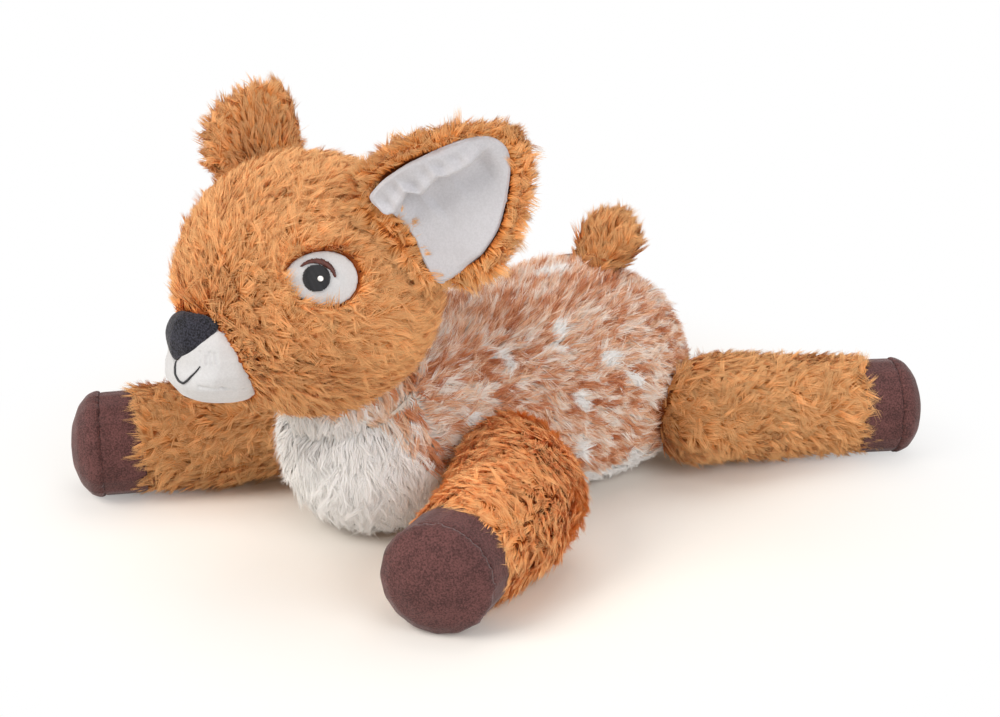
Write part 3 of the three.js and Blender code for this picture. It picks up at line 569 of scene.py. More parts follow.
class Cover:
    """A CAD cover's outside: its merged corners, its triangles, and which of them the air reaches."""

    # The clear height in millimetres that pile needs over its root.
    room = 4.0

    def __init__(self, node):
        mesh = frame["nodes"][node].data
        loose = corners_of(mesh)
        _, first, same = np.unique(np.round(loose, 3), axis=0, return_index=True, return_inverse=True)
        self.corners = loose[first]
        self.faces = same.reshape(-1)[triangles_of(mesh)]
        a, b, c = (self.corners[self.faces[:, k]] for k in range(3))
        cross = np.cross(b - a, c - a)
        self.area = np.linalg.norm(cross, axis=1) / 2
        self.out = unit(cross)
        turns = ((a, b, c), (b, c, a), (c, a, b))
        tests = [(a + b + c) / 3] + [0.8 * p + 0.1 * q + 0.1 * r for p, q, r in turns]
        resting = (tests[0][:, 2] < 1.0) & (self.out[:, 2] < -0.7)
        self.free = np.array(
            [
                not resting[k] and any(open_to_air(test[k], self.out[k], self.room) for test in tests)
                for k in range(len(self.faces))
            ]
        )
        self.corner_out = np.zeros_like(self.corners)
        for k in range(3):
            np.add.at(self.corner_out, self.faces[self.free, k], cross[self.free])
        self.corner_out = unit(self.corner_out)

    def scatter(self, per_square_mm, random):
        """Random places over the outside, with the outward direction at each."""
        share = np.where(self.free, self.area, 0)
        count = int(share.sum() * per_square_mm)
        pick = random.choice(len(self.faces), count, p=share / share.sum())
        across, down = random.random((2, count))
        over = across + down > 1
        across[over], down[over] = 1 - across[over], 1 - down[over]
        weights = np.stack([1 - across - down, across, down], 1)[:, :, None]
        place = (weights * self.corners[self.faces[pick]]).sum(1)
        out = unit((weights * self.corner_out[self.faces[pick]]).sum(1))
        keep = np.array([open_to_air(p, o, self.room) for p, o in zip(place, self.out[pick])])
        return place[keep], out[keep]


def ribbon_object(name, root, middle, tip, side, out, pile, ginger):
    """One mesh of narrow two-part ribbons, each from its root over its middle to a pointed tip.

    Their normals lean to the cloth's, because each ribbon stands for a bundle of round fibres.
    """
    count = len(root)
    corners = np.stack([root - side, root + side, middle + 0.85 * side, middle - 0.85 * side, tip], 1)
    first = np.arange(count)[:, None]
    loops = first * 5 + np.array([0, 1, 2, 3, 3, 2, 4])
    starts = first * 7 + np.array([0, 4])
    mesh = bpy.data.meshes.new(name)
    mesh.vertices.add(count * 5)
    mesh.vertices.foreach_set("co", (corners * MM).astype(np.float32).ravel())
    mesh.loops.add(count * 7)
    mesh.loops.foreach_set("vertex_index", loops.astype(np.int32).ravel())
    mesh.polygons.add(count * 2)
    mesh.polygons.foreach_set("loop_start", starts.astype(np.int32).ravel())
    mesh.update(calc_edges=True)
    along = np.tile([0.0, 0.0, 0.55, 0.55, 1.0], (count, 1))
    shade = np.repeat(pile[:, :1], 5, 1)
    pale = np.repeat(pile[:, 1:2], 5, 1)
    colour = np.stack([along, shade, pale, np.ones_like(along)], 2)
    shades = mesh.attributes.new("pile", "FLOAT_COLOR", "POINT")
    shades.data.foreach_set("color", colour.astype(np.float32).ravel())
    dye = mesh.attributes.new("ginger", "FLOAT", "POINT")
    dye.data.foreach_set("value", np.repeat(ginger, 5).astype(np.float32))
    mesh.shade_smooth()
    facing = unit(0.62 * out + 0.38 * unit(np.cross(side, middle - root)))
    mesh.normals_split_custom_set_from_vertices(np.repeat(facing, 5, axis=0).tolist())
    return new_object(name, mesh)


# Within so many millimetres a sewn edge turns and shortens the pile, and an ear or the nose lengthens it.
EDGE_WITHIN = 6.0
FRINGE_WITHIN = 13.0
# The lowest height of a fibre in millimetres.
FLOOR_GAP = 0.5
# How far tufts bend sideways as a share of their reach, and the share of fibres that stand off their tuft.
CURL = 0.28
STRAY_SHARE = 0.04


def keep_off_floor(rows, out, random):
    """Spreads the fibres that would reach below the floor out over it."""
    under = np.maximum(0.0, FLOOR_GAP - rows[:, 2])
    rows += out * np.array([1.0, 1.0, 0.0]) * under[:, None] * 0.8
    rows[:, 2] = np.maximum(rows[:, 2], FLOOR_GAP + 0.6 * random.random(len(rows)) * (under > 0))


def tufts_over(place, per_square_mm, random):
    """Which places are the heads of tufts, and the number of the tuft that each place belongs to."""
    count = len(place)
    tuft_area = (bpy.context.scene.fawn_pile.tuft_gap / MM) ** 2
    heads = random.choice(count, max(1, int(count / (per_square_mm * tuft_area))), replace=False)
    tree = kdtree.KDTree(len(heads))
    for number, row in enumerate(place[heads].tolist()):
        tree.insert(row, number)
    tree.balance()
    return heads, np.array([tree.find(row)[1] for row in place.tolist()])


def grow_pile(cover, name, seed, per_square_mm, reach, comb, swirl, ruffle, depth, bare, gather=0.8,
              rise=1.0, tone=None, shade=0.5, longer_by=(), wide=1.0, keep=None, ridge=0.0):
    """Grows tufted pile over a cover.

    comb gives the direction in which the pile is brushed at each place, in any length. swirl and ruffle are
    the angles in radians by which patches and single tufts turn from it. depth is how far in millimetres
    the roots lie under the cover's outside, and the pile lies away from the bare nodes. gather is how far a
    tuft closes at its tip, rise and wide are shares of the pile's settings, and shade is the mean shade of
    the tufts. tone gives paleness and ginger share. The pile grows longer beside the nodes in longer_by.
    keep tells at which places any grows, and ridge how much more it stands up where it faces the sky.
    """
    settings = bpy.context.scene.fawn_pile
    random = np.random.default_rng(seed)
    rise = rise * settings.rise / MM
    place, out = cover.scatter(per_square_mm, random)
    if keep:
        kept = keep(place)
        place, out = place[kept], out[kept]
    count = len(place)
    heads, tuft = tufts_over(place, per_square_mm, random)

    brushed = along_cloth(comb(place), out)
    turn = swirl * 2.2 * patches(place[heads], 20, seed) + ruffle * random.standard_normal(len(heads))
    angle = turn[tuft] + 0.16 * random.standard_normal(count)
    lean = brushed * np.cos(angle)[:, None] + np.cross(out, brushed) * np.sin(angle)[:, None]
    near, away = nearness(place, bare, EDGE_WITHIN)
    lean = along_cloth(lean + 1.6 * near[:, None] * along_cloth(away, out), out)
    beside, _ = nearness(place, longer_by, FRINGE_WITHIN)

    tuft_reach = reach * (1 + 0.28 * random.standard_normal(len(heads)).clip(-1.6, 1.6))
    tuft_rise = rise * (1 + 0.6 * random.standard_normal(len(heads)).clip(-1.5, 2))
    own = 1 + 0.15 * random.standard_normal(count).clip(-2, 2)
    strand_reach = tuft_reach[tuft] * own * (1 - 0.45 * near) * (1 + 0.8 * beside)
    strand_rise = tuft_rise[tuft] * own * (1 - 0.6 * near) + 2.0 * beside
    strand_rise = strand_rise + ridge * step_up(out[:, 2], 0.6, 1.0)
    stray = random.random(count) < STRAY_SHARE
    strand_rise = np.where(stray, strand_rise + 1.6 * random.random(count), strand_rise)
    root = place - out * (depth * (1 - 0.75 * near))[:, None]
    bend = np.cross(out, lean) * (CURL * random.standard_normal(len(heads))[tuft] * strand_reach)[:, None]
    tip = place + out * strand_rise[:, None] + lean * strand_reach[:, None] + bend
    tuft_tip = tip[heads][tuft]
    pull = np.where(stray, 0.0, gather * (0.55 + 0.45 * random.random(count)))[:, None]
    tip = tip + (tuft_tip - tip) * pull
    knee = place - out * (0.1 * depth) + lean * (0.3 * strand_reach[:, None])
    knee = knee + (knee[heads][tuft] - knee) * pull * 0.35
    middle = 0.25 * root + 0.5 * knee + 0.25 * tip - 0.4 * bend
    keep_off_floor(middle, out, random)
    keep_off_floor(tip, out, random)
    root[:, 2] = np.maximum(root[:, 2], FLOOR_GAP)

    way = unit(tip - root)
    side = unit(np.cross(way, out))
    twist = random.uniform(-1.0, 1.0, count)
    side = side * np.cos(twist)[:, None] + np.cross(way, side) * np.sin(twist)[:, None]
    width = wide * settings.width / MM * random.uniform(0.7, 1.3, count) / 2
    tuft_shade = shade + 0.19 * random.standard_normal(len(heads))
    shades = tuft_shade[tuft] + 0.14 * random.standard_normal(count)
    shown = 0.4 * place + 0.6 * tip
    pale, ginger = tone(shown, shown[heads], tuft, random) if tone else (np.zeros(count), np.ones(count))
    pile = np.stack([shades.clip(0, 1), pale.clip(0, 1)], 1)
    return ribbon_object(name, root, middle, tip, side * width[:, None], out, pile, ginger.clip(0, 1))


def finish_piece(made, node, material):
    """Gives a piece its material, its place in the model and the body it moves with."""
    made.data.materials.clear()
    made.data.materials.append(material)
    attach(made, frame["nodes"][node]["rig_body"])
    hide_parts(node)
    return made


# Each fur: the material of its pile and of the backing under it.
FURS = {
    "ginger_fur": (ginger_pile, ginger_backing),
    "spotted_fur": (printed_pile, cream_backing),
    "white_fur": (printed_pile, cream_backing),
}


def backing(cover, node, name, depth, slot, bare=BARE):
    """The cloth under the pile: the cover's outside taken in by the pile's depth, less at a sewn edge."""
    near, _ = nearness(cover.corners, bare, EDGE_WITHIN)
    corners = cover.corners - cover.corner_out * (depth * (1 - 0.9 * near))[:, None]
    mesh = bpy.data.meshes.new(name)
    mesh.from_pydata((corners * MM).tolist(), [], cover.faces.tolist())
    mesh.shade_smooth()
    made = finish_piece(new_object(name, mesh), node, FURS[slot][1]())
    return made


def coats(cover, node, name, slot, seeds, **style):
    """Grows a low, loose under coat, painted darker as shade deep in the pile, over a node and then one or
    more top coats.
    """
    for number, seed in enumerate(seeds):
        coat = dict(style)
        if number == 0:
            coat["per_square_mm"] = 0.65 * style["per_square_mm"]
            coat["wide"] = 1.5
            coat["rise"] = -0.8 * style.get("rise", 1.0)
            coat["gather"] = 0.5 * style.get("gather", 0.8)
            # The under coat's lower shade is painted shade deep in the pile.
            coat["shade"] = style.get("shade", 0.5) - (0.1 if "tone" in style else 0.25)
        grown = grow_pile(cover, name + "_" + "abcd"[number], seed, **coat)
        finish_piece(grown, node, FURS[slot][0]())


def fur(node, name, slot, seeds, depth=None, bare=BARE, **style):
    """Dresses a whole cover in backing and coats of pile, and gives the backing."""
    if depth is None:
        depth = bpy.context.scene.fawn_pile.depth / MM
    cover = Cover(node)
    under = backing(cover, node, name + "_backing", depth, slot, bare)
    coats(cover, node, name + "_pile", slot, seeds, depth=depth, bare=bare, **style)
    return under


def toward(*direction):
    """Pile brushed in one direction all over."""
    return lambda place: np.tile(np.array(direction, float), (len(place), 1))


def away_from(point):
    """Pile brushed away from a point."""
    return lambda place: place - np.array(point)


# Where the pile of the head parts: just before the tip of the snout.
SNOUT = (-4.7, -163.0, 110.0)
# The head looks 4 degrees to its right; these are its left and its front, and the middle of its snout.
HEAD_ACROSS = np.array([0.99756, -0.06976, 0.0])
HEAD_FRONT = np.array([-0.06976, -0.99756, 0.0])
SNOUT_MIDDLE = np.array([-2.97, -138.97, 107.54])
# The height of the nose's upper edge over the middle of the snout.
NOSE_EDGE = 126.0
# The pile's white spots spread this much beyond their printed outline.
SPOT_SPREAD = 1.4
# Each spot: its middle, the direction of its length, and its half length and half width, in millimetres.
SPOTS = [
    ((33.7, 18.9, 83.5), (0.7, -0.5, -0.5), 6.0, 3.6),
    ((40.3, 14.3, 78.0), (0.2, 1.0, 0.0), 4.0, 2.2),
    ((31.5, -16.3, 80.2), (0.75, 0.3, -0.5), 8.5, 2.8),
    ((50.3, 39.1, 69.7), (0.2, 1.0, -0.2), 4.8, 3.0),
    ((56.0, 51.0, 56.5), (0.1, 0.7, -0.7), 6.5, 2.4),
    ((53.2, 18.3, 54.7), (0.2, 0.5, -0.8), 5.2, 3.4),
    ((54.4, 50.1, 17.5), (0.0, 0.6, -0.6), 4.6, 3.6),
    ((33.0, 65.8, 85.2), (-0.7, 0.6, 0.2), 5.0, 2.0),
    ((57.5, 80.0, 62.0), (0.2, 0.9, -0.5), 5.0, 2.6),
    ((46.0, -38.0, 58.0), (0.3, 1.0, 0.0), 5.0, 4.0),
    ((-4.0, 48.0, 93.0), (0.2, 1.0, 0.0), 10.0, 5.0),
    ((53.0, 19.0, 29.0), (0.0, 0.3, -1.0), 6.0, 3.0),
    ((-30.0, 6.0, 85.0), (0.6, 0.5, 0.4), 6.0, 3.2),
    ((-38.0, 34.0, 79.0), (0.1, 1.0, -0.2), 5.5, 3.2),
    ((-50.0, 20.0, 62.0), (0.1, 0.5, 0.8), 6.0, 2.8),
    ((-45.0, -14.0, 60.0), (0.1, 0.8, -0.5), 5.5, 3.0),
    ((-53.0, 60.0, 54.0), (0.2, 0.9, 0.3), 6.0, 3.0),
    ((-30.0, -32.0, 78.0), (0.5, 0.8, 0.2), 5.0, 2.6),
    ((-56.0, 42.0, 30.0), (0.1, 0.5, 0.8), 5.0, 3.2),
    ((-26.0, 78.0, 84.0), (0.7, 0.6, -0.2), 5.5, 2.6),
    ((14.0, 92.0, 78.0), (0.9, 0.3, -0.3), 5.0, 2.8),
    ((-12.0, 108.0, 58.0), (0.6, 0.1, -0.8), 5.5, 3.0),
    ((30.0, 102.0, 54.0), (0.5, 0.2, 0.8), 5.0, 3.0),
    ((-48.0, 90.0, 40.0), (0.4, 0.8, 0.4), 5.0, 3.0),
    ((2.0, -20.0, 88.0), (0.3, 1.0, 0.0), 6.0, 3.0),
    ((8.0, 18.0, 91.0), (0.9, 0.4, 0.0), 5.0, 2.8),
]


def spot_share(place):
    """How far each place lies inside a white spot: 1 in the middle, 0 outside."""
    share = np.zeros(len(place))
    for middle, length, half_length, half_width in SPOTS:
        offset = place - np.array(middle)
        axis = np.array(length) / np.linalg.norm(length)
        lengthwise = offset @ axis
        across = np.linalg.norm(offset - lengthwise[:, None] * axis, axis=1)
        distance = np.hypot(lengthwise / half_length, across / half_width) / SPOT_SPREAD
        share = np.maximum(share, np.clip((1.0 - distance) / 0.2, 0, 1))
    return share


def back_print(place, heads, tuft, random):
    """Streaky brown print that thins to cream low on the flanks, with white spots left in it."""
    streaks = heads * np.array([1.0, 0.35, 1.0])
    level = 0.45 + 0.65 * patches(streaks, 3.0, 3) + 0.3 * patches(heads, 15, 4)
    level = level + 0.5 * patches(streaks, 1.7, 5)
    low = np.clip((34 - heads[:, 2]) / 34, 0, 1)
    shoulder = np.exp(-(((heads - np.array([38.0, -45.0, 62.0])) / 17) ** 2).sum(1))
    level = level + 0.16 * low + 0.22 * shoulder
    pale = level[tuft] + 0.16 * random.standard_normal(len(place))
    spot = np.maximum(spot_share(place), np.clip((15 - place[:, 2]) / 3, 0, 1))
    return pale.clip(0, 0.72) * (1 - spot) + spot, np.zeros(len(place))


def front_print(place, heads, tuft, random):
    """White on the chest and belly, printed behind the line that climbs from the front legs to the jaw."""
    behind = heads[:, 1] + 60 + 0.95 * (heads[:, 2] - 35) + 5 * patches(heads, 9, 6)
    printed = np.clip(behind / 3, 0, 1) * np.clip((heads[:, 2] - 34) / 8, 0, 1)
    edge = np.exp(-((behind / 4.5) ** 2)) * (heads[:, 2] > 38)
    level = 0.6 + 0.5 * patches(heads, 5, 7) + 0.25 * patches(heads, 12, 8)
    collar = np.exp(-(((heads[:, 1] + 62) / 4.5) ** 2)) * (heads[:, 2] > 38)
    level = level - 0.3 * edge - 0.4 * collar
    pale = 1 - printed * (1 - level.clip(0, 0.9))
    pale = pale[tuft] + 0.08 * random.standard_normal(len(place))
    return pale, np.zeros(len(place))


def neck_print(place, heads, tuft, random):
    """Ginger under the jaw, printed on the sides and the back of the neck, white low in front."""
    pale, _ = front_print(place, heads, tuft, random)
    ahead = -92 - heads[:, 1] + 0.25 * (heads[:, 2] - 72)
    front = np.clip(ahead / 5 + 0.5 * patches(heads, 6, 9), 0, 1)
    high = np.clip((heads[:, 2] - 67) / 3, 0, 1)
    near_head = np.clip((heads[:, 2] - 84) / 4, 0, 1)
    ginger = np.maximum(front * high, near_head)
    return pale, ginger[tuft] + 0.08 * random.standard_normal(len(place))


class FAWN_OT_back_coat(bpy.types.Operator):
    """Grows the printed pile of the back, brushed to the rear and down the flanks"""

    bl_idname = "fawn.back_coat"
    bl_label = "Back coat"

    def execute(self, context):
        fur(
            "back_cover", "back", "spotted_fur", (11, 12, 15), per_square_mm=1.15,
            reach=context.scene.fawn_pile.printed_reach / MM, comb=toward(0, 1, -0.28), swirl=0.45,
            ruffle=0.22, tone=back_print, ridge=5.5,
        )
        return {"FINISHED"}


class FAWN_OT_belly_coat(bpy.types.Operator):
    """Grows the white pile of the chest and belly, which hangs down and spreads on the floor"""

    bl_idname = "fawn.belly_coat"
    bl_label = "Belly coat"

    def execute(self, context):
        # The high shade paints the white pile lighter, as painted light against the shade under the head
        # and body.
        fur(
            "belly_cover", "belly", "white_fur", (13, 16), per_square_mm=1.6,
            reach=context.scene.fawn_pile.white_reach / MM, comb=toward(0, 0.15, -1), swirl=0.2,
            ruffle=0.18, gather=0.85, tone=front_print, shade=0.85,
        )
        return {"FINISHED"}


class FAWN_OT_neck_coat(bpy.types.Operator):
    """Grows the pile that shows between the chest and the head"""

    bl_idname = "fawn.neck_coat"
    bl_label = "Neck coat"

    def execute(self, context):
        fur(
            "neck_cuff", "neck", "white_fur", (14, 17), per_square_mm=1.4,
            reach=context.scene.fawn_pile.printed_reach / MM, comb=toward(0, 0.5, -1), swirl=0.3,
            ruffle=0.25, tone=neck_print,
        )
        return {"FINISHED"}


def above_nose(place):
    """Which places lie above the nose's upper edge, which slopes down to its right."""
    across = (place - SNOUT_MIDDLE) @ HEAD_ACROSS
    return place[:, 2] > NOSE_EDGE + np.where(across > 0, 0.02, 0.42) * across


class FAWN_OT_head_coat(bpy.types.Operator):
    """Grows the ginger pile of the head, brushed back from the snout and short around the eyes"""

    bl_idname = "fawn.head_coat"
    bl_label = "Head coat"

    def execute(self, context):
        reach = context.scene.fawn_pile.ginger_reach / MM
        fur(
            "head_cover", "head", "ginger_fur", (21, 22, 23), per_square_mm=1.25, reach=reach,
            comb=away_from(SNOUT), swirl=0.6, ruffle=0.4, shade=0.55, longer_by=(*LININGS, "nose_patch"),
        )
        brow = Cover("nose_patch")
        backing(brow, "head_cover", "brow_backing", 4.0, "ginger_fur", ())
        coats(
            brow, "head_cover", "brow_pile", "ginger_fur", (25, 26), per_square_mm=2.6, reach=reach,
            comb=away_from(SNOUT), swirl=0.5, ruffle=0.4, shade=0.62, depth=1.5, rise=3.0, bare=(),
            keep=above_nose,
        )
        return {"FINISHED"}


# Each ear: which way its hinge's axis points, and the direction from its root to its tip.
EARS = {"left": (1, (0.527, 0.538, 0.658)), "right": (-1, (-0.532, 0.547, 0.646))}
# The lining's outline round by the upper edge and the tip: along the ear and down across it.
LINING_OUTLINE = (
    (8, -22.6), (13, -24.8), (21, -25.6), (30, -25.0), (42.3, -21.5), (54.2, -16.5), (62.0, -10.5),
    (64.6, -3.4), (62.6, 2.8), (57.8, 8.4), (49.0, 15.8), (39.2, 22.2), (26.8, 26.0), (14, 27.2),
    (3, 24.5), (5, 13), (9, 3), (9.5, -8), (8.5, -15),
)
# How deep the lining's hollow goes into the stuffed ear, and the width of the fur along its seam.
HOLLOW = 4.2
SEAM_BAND = 8.0


def ear_frame(side):
    """An ear's hinge in millimetres, and the directions along it, down across it and out of its lining."""
    turn, along = EARS[side]
    joint = next(j for j in frame["joints"] if j["name"] == side + "_ear_flap")
    down = np.array(joint["axis"]) * turn
    along = np.array(along)
    return np.array(joint["pos_m"]) * TO_MM, along, down, np.cross(down, along) * turn


def closed_outline(points, count=240):
    """A smooth closed line through the points."""
    points = np.array(points, float)
    number = len(points)
    at = np.linspace(0, number, count, endpoint=False)
    step = at.astype(int)
    t = (at - step)[:, None]
    a, b, c, d = (points[(step + k) % number] for k in (-1, 0, 1, 2))
    bend, sway = 2 * a - 5 * b + 4 * c - d, 3 * b - a - 3 * c + d
    return 0.5 * (2 * b + (c - a) * t + bend * t**2 + sway * t**3)


class SeamBand:
    """The narrow band of an ear along the outside of its lining's seam."""

    def __init__(self, side):
        self.side = side

    def scatter(self, per_square_mm, random):
        """Random places on the band, with the outward direction at each."""
        hinge, along, down, face = ear_frame(self.side)
        rim = closed_outline(LINING_OUTLINE)
        ahead = np.roll(rim, -1, axis=0) - rim
        step = np.hypot(*ahead.T)
        sideways = np.stack([ahead[:, 1], -ahead[:, 0]], 1)
        sideways *= (np.sign((sideways * (rim - rim.mean(0))).sum(1)) / step)[:, None]
        count = int(step.sum() * SEAM_BAND * per_square_mm)
        pick = random.integers(0, len(rim), count)
        flat = rim[pick] + sideways[pick] * random.uniform(-0.3, SEAM_BAND, count)[:, None]
        ear = (self.side + "_ear_back", self.side + "_ear_lining")
        solids = search_tree([*ear, "head_cover"])
        place, out = [], []
        for u, v in flat:
            above = hinge + u * along + v * down + face * 30
            spot, normal, _, _ = solids.ray_cast(Vector(above), Vector(-face), 60)
            if spot is not None:
                place.append(np.array(spot))
                out.append(np.array(normal) + face)
        place, out = np.array(place), unit(np.array(out))
        on_ear = nearness(place, ear, 3.0)[0] > 0
        return place[on_ear], out[on_ear]


class FAWN_OT_ear_coats(bpy.types.Operator):
    """Grows the ginger pile over the backs and rims of both ears, brushed outwards"""

    bl_idname = "fawn.ear_coats"
    bl_label = "Ear coats"

    def execute(self, context):
        reach = context.scene.fawn_pile.rim_reach / MM
        for number, side in enumerate(EARS):
            node = side + "_ear_back"
            lined = (side + "_ear_lining",)
            hinge, along, _, face = ear_frame(side)
            middle = middle_mm(side + "_ear_lining")

            def outwards(place, hinge=hinge, middle=middle):
                """Away from the ear's root and from the middle of its lining."""
                return 0.5 * unit(place - hinge) + unit(place - middle)

            under = fur(
                node, side + "_ear", "ginger_fur", (31 + number, 33 + number), depth=2.0, bare=lined,
                per_square_mm=2.4, reach=reach, comb=outwards, swirl=0.3, ruffle=0.3, shade=0.5,
            )
            pressed = corners_of(under.data)
            touching, _ = nearness(pressed, lined, 1.0)
            sunk = HOLLOW * (touching > 0) * step_up((pressed - hinge) @ along, 11, 20)
            pressed -= face * sunk[:, None]
            move_corners(under.data, pressed)

            def off_lining(place, hinge=hinge, along=along, middle=middle):
                """Outwards from the lining, but up onto it at the ear's root."""
                at_root = step_up(-((place - hinge) @ along), -12, -7)[:, None]
                return (1 - at_root) * unit(place - middle) + at_root * along

            coats(
                SeamBand(side), node, side + "_seam_pile", "ginger_fur", (35 + number, 37 + number),
                per_square_mm=2.3, reach=reach, depth=1.5, bare=(), comb=off_lining, swirl=0.3,
                ruffle=0.3, shade=0.5,
            )
        return {"FINISHED"}


# Each leg: the seed of its pile, its painted light and shade (lightest on the near front leg, darkest on
# the far one), and its tufted fibres on a square millimetre.
LEGS = {
    "front_left": (41, 1.05, 1.8),
    "front_right": (42, 0.36, 1.8),
    "hind_left": (43, 0.45, 1.8),
    "hind_right": (44, 0.45, 1.2),
}


class FAWN_OT_leg_coats(bpy.types.Operator):
    """Grows the ginger pile of the four legs, brushed towards the hooves in loose swirls"""

    bl_idname = "fawn.leg_coats"
    bl_label = "Leg coats"

    def execute(self, context):
        reach = context.scene.fawn_pile.ginger_reach / MM
        for leg, (seed, shade, density) in LEGS.items():
            sole = middle_mm(leg + "_hoof_sole")
            fur(
                leg + "_leg_cover", leg + "_leg", "ginger_fur", (seed, seed + 4), per_square_mm=density,
                reach=reach, comb=lambda place, sole=sole: sole - place, swirl=0.8, ruffle=0.4,
                shade=shade,
            )
        return {"FINISHED"}


class FAWN_OT_tail_coat(bpy.types.Operator):
    """Grows the ginger pile of the tail, brushed up to its tip"""

    bl_idname = "fawn.tail_coat"
    bl_label = "Tail coat"

    def execute(self, context):
        for number, name in enumerate(("tail_upper", "tail_lower")):
            fur(
                name + "_panel", name, "ginger_fur", (51 + number, 53 + number), depth=2.5,
                per_square_mm=3.0, reach=8.5, rise=1.2, comb=toward(0, 0.75, 1), swirl=0.2, ruffle=0.18,
                shade=0.4,
            )
        return {"FINISHED"}


def only(made):
    """Selects one object and makes it the active one."""
    bpy.ops.object.select_all(action="DESELECT")
    made.select_set(True)
    bpy.context.view_layer.objects.active = made


def soft_copy(node, name, voxel_mm, smooth_steps, swell_mm=0.0):
    """A copy of a CAD solid with rounded sewn edges: merged, remeshed in small voxels and smoothed."""
    made = new_object(name, frame["nodes"][node].data.copy())
    made.data.materials.clear()
    only(made)
    bpy.ops.object.mode_set(mode="EDIT")
    bpy.ops.mesh.select_all(action="SELECT")
    bpy.ops.mesh.remove_doubles(threshold=0.00001)
    bpy.ops.object.mode_set(mode="OBJECT")
    remesh = made.modifiers.new("remesh", "REMESH")
    remesh.mode = "VOXEL"
    remesh.voxel_size = voxel_mm * MM
    bpy.ops.object.modifier_apply(modifier=remesh.name)
    smooth = made.modifiers.new("smooth", "SMOOTH")
    smooth.iterations = smooth_steps
    smooth.factor = 0.5
    bpy.ops.object.modifier_apply(modifier=smooth.name)
    if swell_mm:
        swell = made.modifiers.new("swell", "DISPLACE")
        swell.strength = swell_mm * MM
        swell.mid_level = 0.0
        bpy.ops.object.modifier_apply(modifier=swell.name)
    made.data.shade_smooth()
    return made


def sewn_panel(name, outline, middle, steps, lay, thick_mm):
    """A sewn panel: a grid fitted inside a closed outline, laid on its ground and given its thickness.

    lay takes the grid's flat places and how far out each is, 0 in the middle and 1 at the seam, as square
    tables, and gives the places in the world in millimetres.
    """
    bpy.ops.object.select_all(action="DESELECT")
    bpy.ops.mesh.primitive_grid_add(x_subdivisions=steps, y_subdivisions=steps, size=2.0)
    made = bpy.context.active_object
    made.name = name
    mesh = made.data
    square = corners_of(mesh) / TO_MM
    wide = square[:, 0] * np.sqrt(1 - square[:, 1] ** 2 / 2)
    tall = square[:, 1] * np.sqrt(1 - square[:, 0] ** 2 / 2)
    share = np.hypot(wide, tall)
    angle = np.arctan2(tall, wide)
    rim = closed_outline(outline) - np.array(middle)
    rim_angle = np.arctan2(rim[:, 1], rim[:, 0])
    order = np.argsort(rim_angle)
    reach = np.interp(angle, rim_angle[order], np.hypot(*rim[order].T), period=2 * math.pi)
    flat = np.array(middle) + (share * reach)[:, None] * np.stack([np.cos(angle), np.sin(angle)], 1)
    table = (steps + 1, steps + 1)
    placed, out = lay(flat.reshape(*table, 2), share.reshape(table))
    move_corners(mesh, placed.reshape(-1, 3))
    facing = np.array([tuple(face.normal) for face in mesh.polygons]).mean(0)
    if facing @ out < 0:
        bpy.ops.object.mode_set(mode="EDIT")
        bpy.ops.mesh.select_all(action="SELECT")
        bpy.ops.mesh.flip_normals()
        bpy.ops.object.mode_set(mode="OBJECT")
    wall = made.modifiers.new("wall", "SOLIDIFY")
    wall.thickness = thick_mm * MM
    wall.offset = -1.0
    bpy.ops.object.modifier_apply(modifier=wall.name)
    mesh.shade_smooth()
    return made


def smoothed(table, rounds):
    """A table of heights with its bumps evened out."""
    for _ in range(rounds):
        full = np.pad(table, 1, mode="edge")
        table = (full[:-2, 1:-1] + full[2:, 1:-1] + full[1:-1, :-2] + full[1:-1, 2:] + 4 * table) / 8
    return table


def thread_object(name, lines, radius_mm, ends=0.5):
    """Round threads along lines of places in millimetres, thinner at their ends."""
    curve = bpy.data.curves.new(name, "CURVE")
    curve.dimensions = "3D"
    curve.bevel_depth = radius_mm * MM
    curve.bevel_resolution = 1
    curve.use_fill_caps = True
    for line in lines:
        spline = curve.splines.new("POLY")
        spline.points.add(len(line) - 1)
        for number, place in enumerate(line):
            point = spline.points[number]
            point.co = (*(np.array(place) * MM), 1.0)
            share = number / (len(line) - 1)
            point.radius = ends + (1 - ends) * min(1.0, 4 * share, 4 * (1 - share))
    only(new_object(name, curve))
    bpy.ops.object.convert(target="MESH")
    made = bpy.context.active_object
    made.data.shade_smooth()
    return made


def chin_shift(place):
    """How far the stuffing pushes the front of the chin forward at each place."""
    offset = place - SNOUT_MIDDLE
    low = step_up(-offset[:, 2], 1.0, 13.0)
    front = step_up(offset @ HEAD_FRONT, 6.0, 19.0)
    return 5.0 * low * front


# Creases of the white panel, each a line of places that the stuffing leaves drawn in.
CREASES = (
    ((9.6, -161.5, 111.8), (10.2, -161.7, 107.1)),
    ((12.1, -159.8, 109.9), (12.3, -159.8, 106.8)),
    ((13.1, -158.6, 111.7), (13.7, -158.5, 106.4)),
    ((14.6, -157.3, 111.4), (15.5, -157.1, 107.5)),
    ((10.4, -158.5, 96.6), (15.1, -152.6, 95.1)),
    ((15.1, -152.6, 95.1), (17.0, -144.3, 92.6)),
)
# Their depth and half width in millimetres.
CREASE_DEPTH = 0.8
CREASE_WIDTH = 0.7
# The outline of the nose: how far left of the middle of the snout and how high.
NOSE_OUTLINE = (
    (0, 125.6), (8, 126.2), (14, 126.6), (18.2, 125.8), (19.3, 123.6), (17.0, 119.4), (14.0, 114.8),
    (10.4, 111.2), (6.4, 108.4), (2.8, 106.0), (0, 104.8), (-2.8, 106.0), (-6.4, 108.2), (-10.4, 110.8),
    (-13.6, 113.2), (-15.4, 114.6), (-14.6, 117.0), (-11.8, 119.8), (-7.8, 122.6), (-3.8, 124.6),
)
